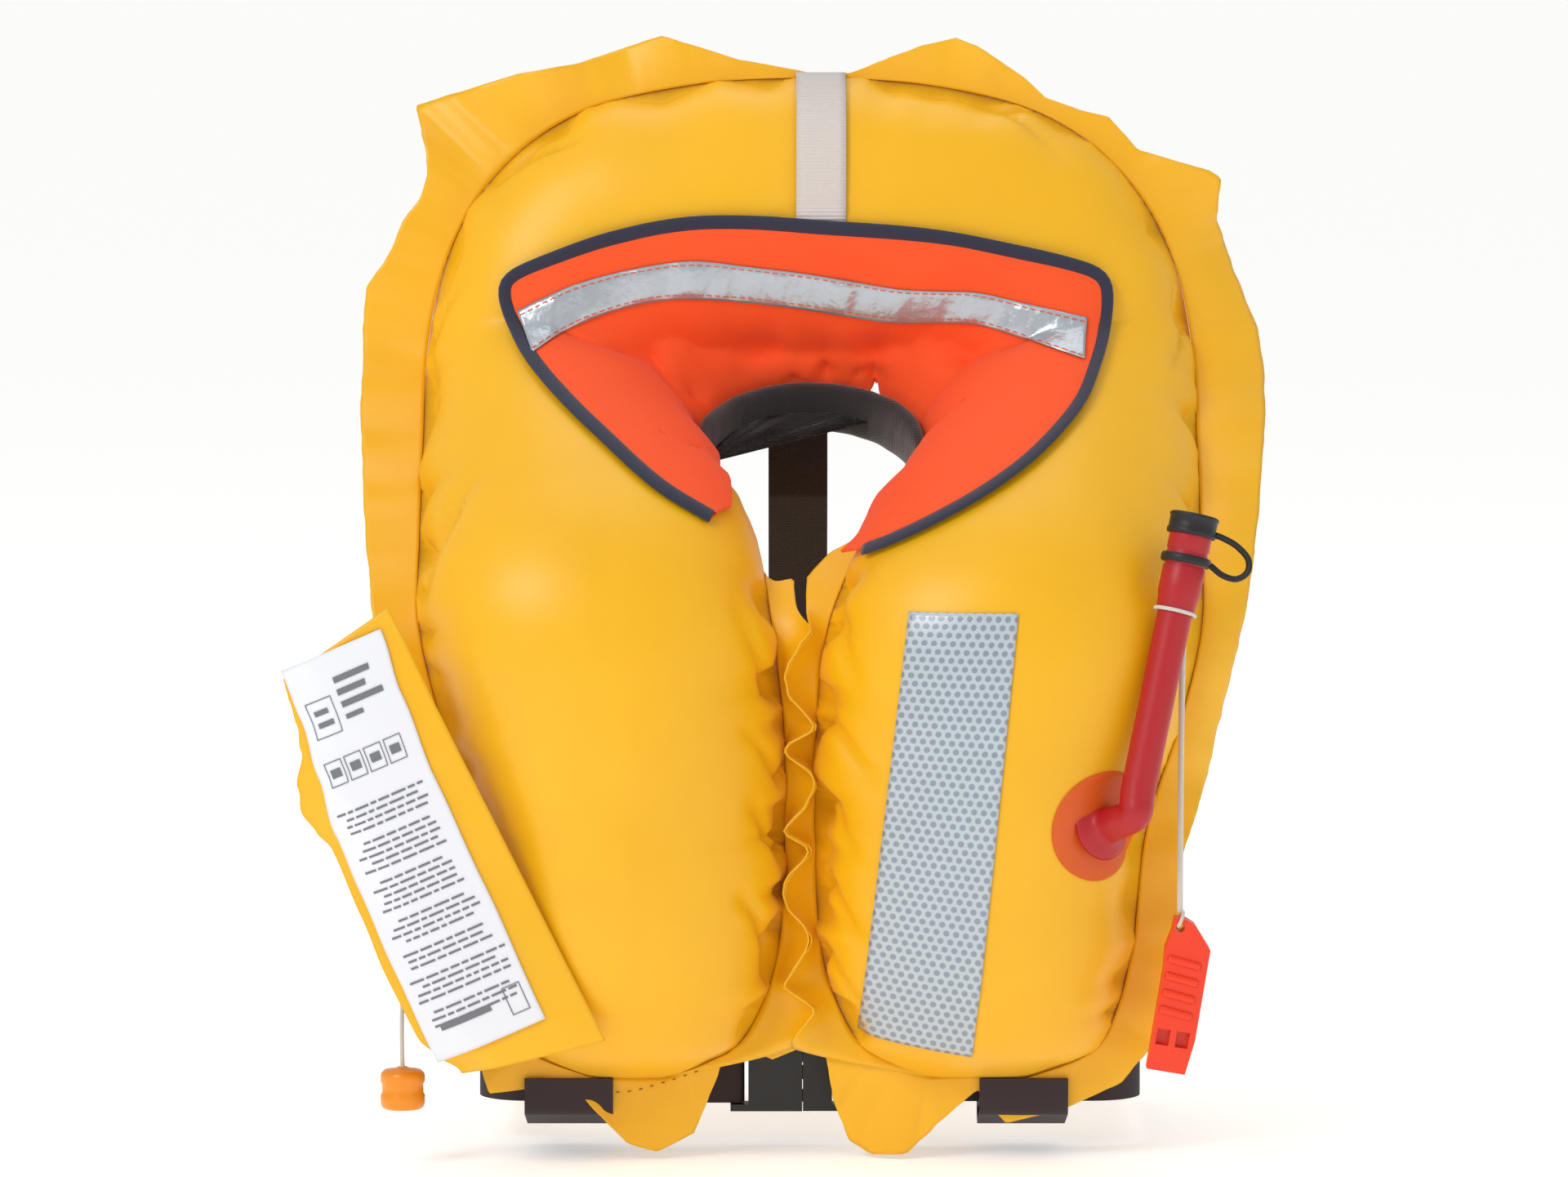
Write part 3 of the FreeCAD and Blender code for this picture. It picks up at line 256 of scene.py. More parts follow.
class Finishes:
    """Every finish of the jacket."""

    # satin polyurethane-coated nylon, slightly see-through where light strikes the rim
    YELLOW = Finish("coated_yellow_nylon", "#f2b500", 0.4, sheen=0.05, subsurface=0.12,
                    pattern=Pattern.COATED, pitch=0.9, relief=0.05, mottle=0.03)
    # matt woven nylon of the cover
    ORANGE = Finish("orange_cover_nylon", "#ff520c", 0.7, sheen=0.1, pattern=Pattern.WOVEN,
                    pitch=0.7, relief=0.08, mottle=0.03)
    # narrow folded binding tape
    NAVY = Finish("navy_binding_tape", "#22243c", 0.75, sheen=0.3, pattern=Pattern.WOVEN, pitch=1.0,
                  relief=0.15)
    # wrinkled retro-reflective tape
    SILVER = Finish("silver_reflective_tape", "#b4bcc2", 0.3, metallic=0.55, pattern=Pattern.FOIL,
                    pitch=26.0, relief=2.2)
    # prismatic film with a glossy face over grey cells
    PRISM = Finish("honeycomb_reflective_film", "#b9c3ca", 0.22, coat=0.6, pattern=Pattern.HONEYCOMB,
                   pitch=4.6, second="#8894a0", relief=0.08)
    # nylon webbing, ribbed across its length
    BLACK_WEB = Finish("black_webbing", "#121216", 0.7, sheen=0.3, pattern=Pattern.WOVEN, pitch=1.4,
                       relief=0.25)
    STRAP = Finish("dark_back_strap", "#1c0a0b", 0.75, sheen=0.2, pattern=Pattern.WOVEN, pitch=1.4,
                   relief=0.2)
    WHITE_WEB = Finish("white_ribbed_webbing", "#dcd2cb", 0.6, sheen=0.3, pattern=Pattern.RIBBED,
                       pitch=2.4, relief=0.5)
    # soft black knit of the nape pad
    PAD = Finish("black_nape_fabric", "#1b181c", 0.85, sheen=0.4, pattern=Pattern.WOVEN, pitch=1.2,
                 relief=0.2)
    BLACK_PLASTIC = Finish("black_buckle_plastic", "#131316", 0.34)
    # red rubbery hose
    RED = Finish("red_tube_rubber", "#b3141c", 0.42, subsurface=0.1)
    RUBBER = Finish("black_cap_rubber", "#17171a", 0.48)
    # welded see-through film under the tube's foot
    FILM = Finish("orange_weld_patch", "#f2601c", 0.42, coat=0.15, alpha=0.5)
    CORD = Finish("white_braided_cord", "#ece6da", 0.7, pattern=Pattern.WOVEN, pitch=0.8, relief=0.3)
    WHISTLE = Finish("orange_whistle_plastic", "#f0390a", 0.35, subsurface=0.15)
    # printed label stock
    LABEL = Finish("white_label_fabric", "#e9eaf0", 0.55, sheen=0.1, pattern=Pattern.COATED, pitch=1.2,
                   relief=0.05)
    INK = Finish("grey_label_ink", "#74757c", 0.7)
    KNOB = Finish("amber_knob_plastic", "#f39310", 0.3, subsurface=0.3)
    INFLATOR = Finish("inflator_plastic", "#1d1e22", 0.4)
    CYLINDER = Finish("zinc_cylinder_steel", "#a9abae", 0.32, metallic=1.0)
    VALVE = Finish("valve_plastic", "#d8d8d4", 0.4)
    SPRING = Finish("spring_steel", "#9a9ca0", 0.3, metallic=1.0)
    THREAD = Finish("orange_stitching", "#e0562a", 0.7)
    BROWN = Finish("brown_weld_marks", "#8a4a12", 0.7)


CAD_FINISHES = {
    Finishes.BLACK_WEB: ("belt_webbing", "belt_loop_right", "belt_loop_left"),
    Finishes.STRAP: ("back_strap",),
    Finishes.BLACK_PLASTIC: ("buckle_female", "buckle_male", "latch_arm_upper", "latch_arm_lower",
                             "belt_adjuster"),
    Finishes.VALVE: ("valve_seat", "valve_stem"),
    Finishes.SPRING: ("valve_spring", "lever_pin", "piercing_pin"),
    Finishes.WHISTLE: ("whistle",),
    Finishes.INFLATOR: ("inflator_body", "inflator_lever", "inflator_manifold"),
    Finishes.FILM: ("manifold_gasket",),
    Finishes.CYLINDER: ("co2_cylinder",),
}


# ------------------------------------------------------------------------------ mesh tools


def finished(mesh: bmesh.types.BMesh, name: str, finish: Finish, body: str | None,
             replaces: Sequence[str] = (), smooth: bool = True) -> bpy.types.Object:
    """Close a bmesh into a named object at the origin that rides a body.

    Args:
        mesh: the geometry, freed here.
        name: the piece's name.
        finish: its finish.
        body: the CAD body it rides, or None when it is blended later.
        replaces: CAD nodes it stands for.
        smooth: shade it smooth.

    Returns:
        The new object.
    """
    data = bpy.data.meshes.new(name)
    for face in mesh.faces:
        face.smooth = smooth
    mesh.to_mesh(data)
    mesh.free()
    data.materials.append(finish.material())
    obj = bpy.data.objects.new(name, data)
    bpy.context.scene.collection.objects.link(obj)
    if body:
        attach(obj, body)
    if replaces:
        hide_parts(*replaces)
    return obj


def surface(place: Place, across: int, along: int, uv_size: tuple[float, float] = (1.0, 1.0),
            closed: bool = False) -> bmesh.types.BMesh:
    """A grid of quads laid over a parametric surface.

    Args:
        place: the point for (u, w), each 0 to 1.
        across: faces along u.
        along: faces along w.
        uv_size: what u and w measure in the UV map.
        closed: u = 0 and u = 1 are the same line.

    Returns:
        The mesh.
    """
    mesh = bmesh.new()
    bmesh.ops.create_grid(mesh, x_segments=across, y_segments=along, size=0.5, calc_uvs=True)
    layer = mesh.loops.layers.uv.verify()
    for face in mesh.faces:
        for loop in face.loops:
            u, w = loop.vert.co.x + 0.5, loop.vert.co.y + 0.5
            loop[layer].uv = (u * uv_size[0], w * uv_size[1])
    for vert in mesh.verts:
        vert.co = place(vert.co.x + 0.5, vert.co.y + 0.5)
    if closed:
        bmesh.ops.remove_doubles(mesh, verts=mesh.verts, dist=1e-6)
    bmesh.ops.recalc_face_normals(mesh, faces=mesh.faces)
    return mesh


def thicken(mesh: bmesh.types.BMesh, thickness: float) -> bmesh.types.BMesh:
    """Give an open surface a thickness in mm by extruding it along its normals, away from the wearer.

    Args:
        mesh: an open surface.
        thickness: in mm.

    Returns:
        The same mesh, now a closed sheet.
    """
    mesh.normal_update()
    back = sum(v.normal.y for v in mesh.verts) > 0
    kept = mesh.verts.layers.float_vector.new("rest_normal")
    for vert in mesh.verts:
        vert[kept] = -vert.normal if back else vert.normal
    grown = bmesh.ops.extrude_face_region(mesh, geom=mesh.faces[:], use_keep_orig=True)
    for item in grown["geom"]:
        if isinstance(item, bmesh.types.BMVert):
            item.co += item[kept] * thickness * MM
    mesh.verts.layers.float_vector.remove(kept)
    bmesh.ops.recalc_face_normals(mesh, faces=mesh.faces)
    return mesh


def relax(mesh: bmesh.types.BMesh, rounds: int, keep_rim: bool = True) -> None:
    """Smooth the vertices, the open edges staying where they are.

    Args:
        mesh: the surface.
        rounds: how often every vertex moves half way to its neighbours.
        keep_rim: leave the open edges where they are.
    """
    verts = [v for v in mesh.verts if not (keep_rim and v.is_boundary)]
    for _ in range(rounds):
        bmesh.ops.smooth_vert(mesh, verts=verts, factor=0.5, use_axis_x=True, use_axis_y=True,
                              use_axis_z=True)


class Path:
    """A smooth line through points, asked by its share of length."""

    steps_per_span: int = 12

    def __init__(self, points: Sequence[Vector], smooth: bool = True) -> None:
        """Lay the line.

        Args:
            points: what it passes through, in order.
            smooth: round it through the points, or run straight between them.
        """
        dense: list[Vector] = []
        last = len(points) - 1
        for i in range(last):
            a, b = points[i], points[i + 1]
            before = points[i - 1] if i else a * 2 - b
            after = points[i + 2] if i + 2 <= last else b * 2 - a
            for step in range(self.steps_per_span):
                t = step / self.steps_per_span
                if smooth:
                    dense.append(0.5 * ((b - before) * t + (2 * before - 5 * a + 4 * b - after) * t * t
                                        + (3 * a - before - 3 * b + after) * t ** 3) + a)
                else:
                    dense.append(a.lerp(b, t))
        dense.append(points[-1].copy())
        self.points = dense
        self.reach = [0.0]
        for a, b in zip(dense, dense[1:]):
            self.reach.append(self.reach[-1] + (b - a).length)
        self.length = self.reach[-1]

    def at(self, share: float) -> Vector:
        """The point at a share of the length, 0 to 1.

        Args:
            share: share of the length.

        Returns:
            The point.
        """
        goal = min(1.0, max(0.0, share)) * self.length
        low, high = 0, len(self.reach) - 1
        while high - low > 1:
            middle = (low + high) // 2
            if self.reach[middle] <= goal:
                low = middle
            else:
                high = middle
        span = self.reach[high] - self.reach[low]
        return self.points[low].lerp(self.points[high], (goal - self.reach[low]) / span if span else 0.0)

    def way(self, share: float) -> Vector:
        """The unit direction at a share of the length."""
        return (self.at(share + 0.004) - self.at(share - 0.004)).normalized()


def flat_path(corners: Sequence[tuple[float, float]], smooth: bool = True) -> Path:
    """A path in the front view from (x, z) corners in mm."""
    return Path([point(x, 0, z) for x, z in corners], smooth)


def tube(path: Path, radius: Callable[[float], float], steps: int, sides: int = 20,
         flat: float = 1.0) -> bmesh.types.BMesh:
    """A closed tube along a path.

    Args:
        path: its middle line.
        radius: the radius in mm at a share of the length.
        steps: rings along it.
        sides: faces round it.
        flat: height of the section over its width.

    Returns:
        The mesh with its ends closed.
    """
    mesh = bmesh.new()
    rings = []
    side = path.way(0).orthogonal().normalized()
    for i in range(steps + 1):
        share = i / steps
        way = path.way(share)
        side = (side - way * side.dot(way)).normalized()
        up = way.cross(side)
        r = radius(share) * MM
        rings.append([mesh.verts.new(path.at(share) + side * r * math.cos(a) + up * r * flat * math.sin(a))
                      for a in (math.tau * k / sides for k in range(sides))])
    edges = [[mesh.edges.new((ring[k], ring[(k + 1) % sides])) for k in range(sides)] for ring in rings]
    for lower, upper in zip(edges, edges[1:]):
        bmesh.ops.bridge_loops(mesh, edges=lower + upper)
    for ring in (rings[0], rings[-1]):
        mesh.faces.new(ring)
    bmesh.ops.recalc_face_normals(mesh, faces=mesh.faces)
    return mesh


def spun(profile: Sequence[tuple[float, float]], place: Matrix, sides: int = 48) -> bmesh.types.BMesh:
    """A turned solid: (radius, height) corners in mm spun about the place's own Z.

    Args:
        profile: (radius, height) corners in mm.
        place: where its origin and Z axis go.
        sides: faces round it.

    Returns:
        The mesh.
    """
    mesh = bmesh.new()
    verts = [mesh.verts.new(point(r, 0, h)) for r, h in profile]
    edges = [mesh.edges.new(pair) for pair in zip(verts, verts[1:])]
    bmesh.ops.spin(mesh, geom=verts + edges, axis=(0, 0, 1), cent=(0, 0, 0), angle=math.tau,
                   steps=sides, use_merge=True)
    bmesh.ops.remove_doubles(mesh, verts=mesh.verts, dist=1e-6)
    bmesh.ops.recalc_face_normals(mesh, faces=mesh.faces)
    mesh.transform(place)
    return mesh


def block(size: Sequence[float], place: Matrix, bevel: float = 0.0) -> bmesh.types.BMesh:
    """A box with rounded edges, size and bevel in mm.

    Args:
        size: lengths in mm along its own axes.
        place: where its middle goes.
        bevel: width of its rounded edges in mm.

    Returns:
        The mesh.
    """
    mesh = bmesh.new()
    bmesh.ops.create_cube(mesh, size=1.0)
    bmesh.ops.scale(mesh, vec=Vector(size) * MM, verts=mesh.verts)
    if bevel:
        bmesh.ops.bevel(mesh, geom=mesh.edges[:], offset=bevel * MM, segments=2, profile=0.5,
                        affect="EDGES", material=-1)
    mesh.transform(place)
    return mesh


def merged(parts: Sequence[bmesh.types.BMesh]) -> bmesh.types.BMesh:
    """Several meshes as one; the parts are freed.

    Args:
        parts: the meshes, freed here.

    Returns:
        One mesh.
    """
    whole = bmesh.new()
    for part in parts:
        data = bpy.data.meshes.new("part")
        part.to_mesh(data)
        whole.from_mesh(data)
        bpy.data.meshes.remove(data)
        part.free()
    return whole


def tree_of(obj: bpy.types.Object) -> BVHTree:
    """A ray-casting tree of an object's mesh.

    Args:
        obj: a mesh object at the origin.

    Returns:
        Its tree.
    """
    mesh = bmesh.new()
    mesh.from_mesh(obj.data)
    tree = BVHTree.FromBMesh(mesh)
    mesh.free()
    return tree


def from_front(tree: BVHTree, spot: Vector, off: float) -> Vector | None:
    """Where the view along +Y through a point meets a surface, held off it by off mm.

    Args:
        tree: the surface.
        spot: a point of the front view.
        off: distance off the surface in mm.

    Returns:
        The point, or None where the line misses.
    """
    hit, normal, _, _ = tree.ray_cast(Vector((spot.x, -0.6, spot.z)), Vector((0, 1, 0)))
    if hit is None:
        return None
    return hit + (normal if normal.y < 0 else -normal) * off * MM


def stitches(path: Path, tree: BVHTree, name: str, finish: Finish, body: str, gap: float = 4.2,
             size: tuple[float, float, float] = (2.6, 0.5, 0.55)) -> bpy.types.Object:
    """A row of short stitches laid along a front-view path on a surface.

    Args:
        path: the row in the front view.
        tree: the surface it lies on.
        name: the piece's name.
        finish: its finish.
        body: the CAD body it rides.
        gap: mm from one stitch to the next.
        size: a stitch in mm.

    Returns:
        The piece.
    """
    parts = []
    count = max(2, int(path.length / (gap * MM)))
    for i in range(count):
        share = (i + 0.5) / count
        spot = from_front(tree, path.at(share), 0.15)
        if spot is None:
            continue
        ahead = from_front(tree, path.at(share + 0.3 / count), 0.15) or spot + path.way(share) * 0.001
        way = (ahead - spot).normalized()
        turn = way.to_track_quat("X", "Y").to_matrix().to_4x4()
        parts.append(block(size, Matrix.Translation(spot) @ turn))
    return finished(merged(parts), name, finish, body, smooth=False)


# ------------------------------------------------------------------------------ bladder


# the chamber's sections from the foot of a lobe to the top of the collar:
# x, z, lean of the section in degrees, half width, half depth
STATIONS = [
    (86, -321, 0, 22, 1.5), (86, -309, 0, 52, 27), (85, -290, 0, 66, 43), (84, -255, 0, 76, 55),
    (86, -195, 0, 81, 59), (95, -140, 0, 89, 60), (103, -95, 0, 91, 58), (112, -52, 0, 83, 53),
    (126, -8, 0, 69, 46), (134, 28, 14, 61, 43), (124, 64, 42, 64, 42), (96, 89, 64, 68, 41),
    (52, 100, 80, 69, 41), (0, 102, 90, 70, 41),
]

# the weld rim's outer edge in the front view, (x, z) from the top middle down each side to the arch
EDGE_LEFT = [
    (0, 174), (21, 174), (40, 182), (56, 188), (75, 192), (85, 188), (109, 172), (120, 162), (138, 155),
    (152, 152), (167, 135), (203, 125), (209, 121), (207, 101), (216, 72), (228, 44), (231, 28),
    (230, -3), (220, -71), (203, -142), (195, -175), (189, -196), (182, -216), (186, -245),
    (180, -274), (169, -306), (154, -324), (126, -337), (97, -344), (83, -327), (64, -343), (48, -359),
    (30, -360), (20, -354), (11, -331), (7, -306), (2, -305),
]
EDGE_RIGHT = [
    (0, 174), (-4, 175), (-36, 181), (-75, 193), (-105, 183), (-119, 179), (-148, 174), (-201, 157),
    (-195, 133), (-194, 123), (-199, 109), (-206, 100), (-213, 84), (-225, 66), (-227, 44), (-227, 5),
    (-223, -40), (-217, -90), (-209, -142), (-197, -196), (-182, -253), (-168, -294), (-160, -329),
    (-119, -324), (-107, -337), (-91, -354), (-76, -358), (-58, -349), (-46, -319), (-42, -304),
    (-31, -306), (-19, -312), (-2, -305),
]
# the middle lips, from the arch up to the neck's V and round the neck to its top middle
LIP_LEFT = [(-6, -305), (-6, -290), (-4, -240), (-6, -180), (-5, -130), (-2, -95), (-2, -74), (10, -62),
            (22, -56), (38, -44), (60, -14), (62, 8), (40, 24), (0, 28)]
LIP_RIGHT = [(-8, -305), (-8, -290), (-8, -240), (-8, -180), (-8, -130), (-7, -95), (-8, -74), (-17, -76),
             (-26, -72), (-33, -61), (-46, -46), (-60, -14), (-62, 8), (-40, 24), (0, 28)]


# long creases of the chamber: share of the horseshoe, from and to in degrees round the section,
# depth and half width in mm
CREASES = [
    (0.232, 0, 52, 9, 5), (0.752, 0, 60, 9, 5), (0.765, 2, 44, 6, 4), (0.330, 4, 38, 7, 5),
    (0.415, 2, 46, 6, 6), (0.600, 2, 44, 7, 6), (0.660, 2, 40, 6, 5), (0.160, 180, 128, 10, 5),
    (0.125, 180, 138, 8, 4), (0.085, 180, 132, 9, 5), (0.880, 180, 140, 9, 5), (0.922, 180, 132, 11, 5),
    (0.845, 180, 138, 7, 4), (0.052, 180, 140, 7, 5), (0.800, 180, 140, 8, 6), (0.205, 180, 140, 8, 6),
]


def depth_at(z: float) -> float:
    """Depth in mm of the weld's surface at a height: upright lobes, a slope and a leaning collar.

    Args:
        z: height in mm.

    Returns:
        The depth in mm.
    """
    slope = 117 / 118
    total = -105.0
    for corner, blend, change in ((-92, 26, slope), (26, 22, 24 / 214 - slope)):
        low, high = corner - blend, corner + blend
        if z >= high:
            total += change * (z - corner)
        elif z > low:
            t = (z - low) / (high - low)
            total += change * (high - low) * (t ** 3 - t ** 4 / 2)
    return total


def slope_at(z: float) -> float:
    """Rise in depth per mm of height of the weld's surface."""
    return (depth_at(z + 1) - depth_at(z - 1)) / 2


@dataclass
class Section:
    """One section of the chamber, in mm."""

    centre: Vector
    outward: Vector
    forward: Vector
    wide: float
    deep: float

    def at(self, angle: float) -> Vector:
        """The point at an angle round the section: 0 outer weld, a quarter turn front, half inner weld."""
        c, s = math.cos(angle), math.sin(angle)
        return self.centre + self.outward * self.wide * c + self.forward * self.deep * s


@dataclass
class Chamber:
    """The inflated horseshoe and its pinched weld line."""

    rings: int = 300
    sides: int = 104
    pucker_reach: float = 0.46    # share of the section's depth that the puckers take up
    inner_pucker: float = 10.0    # mm, their depth at the inner weld and the outer one
    outer_pucker: float = 8.0
    waver: float = 2.6            # mm, broad unevenness
    trim_left: float = -1.6       # mm, how far the left lobe's inner edge moves, halved
    trim_right: float = 3.6       # mm, the same on the right
    held: float = 3.0             # mm beside the weld line that the puffing leaves still
    foot_held: float = -312.0     # mm, height below which the lobes' feet stay still
    fed: float = 75.0             # mm from the weld line over which the cloth has spare width
    spare: float = 0.10           # share of that spare width at the weld line
    pressure: float = 4.0
    frames: int = 18
    most_shift: float = 10.0      # mm that any point may move

    def __post_init__(self) -> None:
        """Lay out the sections of both lobes and the collar."""
        left = [self._trimmed(station, self.trim_left) for station in STATIONS]
        right = [self._trimmed(station, self.trim_right) for station in STATIONS[:-1]]
        mirrored = [(-x, z, 180 - lean, wide, deep) for x, z, lean, wide, deep in reversed(right)]
        self.stations = left + mirrored
        self.reach = [0.0]
        for a, b in zip(self.stations, self.stations[1:]):
            self.reach.append(self.reach[-1] + math.dist(a[:2], b[:2]))

    @staticmethod
    def _trimmed(station: tuple, by: float) -> tuple:
        """A lobe's section with its inner edge 2 x by mm further from the middle, its outer edge held.

        Args:
            station: a row of STATIONS.
            by: mm.

        Returns:
            The changed row.
        """
        x, z, lean, wide, deep = station
        by *= smooth_step((-50 - z) / 50)
        return (x + by, z, lean, wide - by, deep)

    def section(self, share: float) -> Section:
        """The section at a share of the horseshoe, from the wearer's left foot to the right one.

        Args:
            share: 0 at the left foot, 1 at the right.

        Returns:
            The section.
        """
        goal = share * self.reach[-1]
        i = max(k for k in range(len(self.reach) - 1) if self.reach[k] <= goal + 1e-9)
        t = (goal - self.reach[i]) / (self.reach[i + 1] - self.reach[i])
        rows = [self.stations[min(len(self.stations) - 1, max(0, k))] for k in (i - 1, i, i + 1, i + 2)]
        mixed = []
        for p0, p1, p2, p3 in zip(*rows):
            mixed.append(p1 + 0.5 * ((p2 - p0) * t + (2 * p0 - 5 * p1 + 4 * p2 - p3) * t * t
                                     + (3 * p1 - p0 - 3 * p2 + p3) * t ** 3))
        x, z, lean, wide, deep = mixed
        slope = slope_at(z)
        up = Vector((0, slope, 1)).normalized()
        angle = math.radians(lean)
        outward = Vector((1, 0, 0)) * math.cos(angle) + up * math.sin(angle)
        return Section(Vector((x, depth_at(z), z)), outward, Vector((0, -1, slope)).normalized(),
                       wide, max(1.0, deep))

    def place(self, u: float, w: float) -> Vector:
        """The chamber's surface, puckered towards the weld line.

        Args:
            u: share of the turn round the section.
            w: share of the horseshoe.

        Returns:
            The point in metres.
        """
        ring = self.section(w)
        angle = u * math.tau
        spot = ring.at(angle)
        inner = math.cos(angle) < 0
        from_weld = min(abs(math.sin(angle)), 1.0)
        near = math.exp(-((from_weld / self.pucker_reach) ** 2)) * smooth_step(from_weld / 0.08)
        along = w * self.reach[-1]
        seed = (2.0 if inner else 1.0) + (5.0 if math.sin(angle) < 0 else 0.0)
        fold = abs(ripple(seed, along / (30 if inner else 40), 2))
        depth = near * (1 - min(1.0, fold * 3.0)) * (self.inner_pucker if inner else self.outer_pucker)
        depth += near * 1.8 * ripple(seed + 3, along / 10, 2)
        depth += self._creases(angle, w)
        broad = self.waver * ripple(seed + 11, along / 120 + angle * 0.35, 2) * from_weld
        normal = (spot - ring.centre)
        normal.normalize()
        return (spot - normal * (depth - broad)) * MM

    def _creases(self, angle: float, w: float) -> float:
        """Depth in mm of the long creases at the shoulders and beside the middle welds.

        Args:
            angle: turn round the section.
            w: share of the horseshoe.

        Returns:
            The depth.
        """
        total = 0.0
        for at, start, end, depth, width in CREASES:
            turn = (angle - math.radians(start)) / math.radians(end - start)
            if 0 < turn < 1:
                off = (w - at - 0.012 * math.sin(turn * 5)) * self.reach[-1] / width
                total += depth * math.exp(-off * off) * (1 - turn) ** 0.7 * smooth_step(turn * 9)
        return total

    def build(self) -> bpy.types.Object:
        """The chamber as one puffed piece.

        Returns:
            The chamber.
        """
        mesh = surface(self.place, self.sides, self.rings, closed=True)
        ends = [edge for edge in mesh.edges if edge.is_boundary]
        bmesh.ops.holes_fill(mesh, edges=ends, sides=0)
        bmesh.ops.recalc_face_normals(mesh, faces=mesh.faces)
        obj = finished(mesh, "bladder_chamber", Finishes.YELLOW, "bladder",
                       ("bladder_front_panel", "bladder_back_panel"))
        self.inflate(obj)
        return obj

    def inflate(self, obj: bpy.types.Object) -> None:
        """Puff the chamber with a short cloth simulation, its weld lines held.

        Args:
            obj: the chamber, changed in place.
        """
        rest = [v.co.copy() for v in obj.data.vertices]
        weld = obj.vertex_groups.new(name="weld")
        loose = obj.vertex_groups.new(name="loose")
        mesh = obj.data
        lines = [self.section(row / self.rings) for row in range(self.rings + 1)]
        tips = [(line.centre + line.outward * line.wide * side) * MM for line in lines for side in (1, -1)]
        tree = KDTree(len(tips))
        for i, tip in enumerate(tips):
            tree.insert(tip, i)
        tree.balance()
        for vert in mesh.vertices:
            distance = tree.find(vert.co)[2] / MM
            if distance < self.held or vert.co.z < self.foot_held * MM:
                weld.add([vert.index], 1.0, "REPLACE")
            loose.add([vert.index], max(0.0, 1 - distance / self.fed), "REPLACE")
        modifier = obj.modifiers.new("puff", "CLOTH")
        settings = modifier.settings
        settings.quality = 5
        settings.mass = 0.15
        settings.tension_stiffness = settings.compression_stiffness = 25
        settings.shear_stiffness = 8
        settings.bending_stiffness = 0.6
        settings.air_damping = 3
        settings.use_pressure = True
        settings.uniform_pressure_force = self.pressure
        settings.vertex_group_mass = "weld"
        settings.pin_stiffness = 1
        settings.shrink_min = 0.0
        settings.shrink_max = -self.spare
        settings.vertex_group_shrink = "loose"
        settings.effector_weights.gravity = 0
        scene = bpy.context.scene
        scene.frame_start, scene.frame_end = 1, self.frames
        modifier.point_cache.frame_start, modifier.point_cache.frame_end = 1, self.frames
        for step in range(1, self.frames + 1):
            scene.frame_set(step)
        shaped = obj.evaluated_get(bpy.context.evaluated_depsgraph_get())
        moved = [v.co.copy() for v in shaped.data.vertices]
        obj.modifiers.remove(modifier)
        scene.frame_set(1)
        worst = 0.0
        for vert, start, end in zip(mesh.vertices, rest, moved):
            shift = end - start
            worst = max(worst, shift.length)
            if shift.length > self.most_shift * MM:
                shift *= self.most_shift * MM / shift.length
            vert.co = start + shift
        obj.vertex_groups.clear()
        log.info("chamber puffed, largest move %.1f mm", worst / MM)


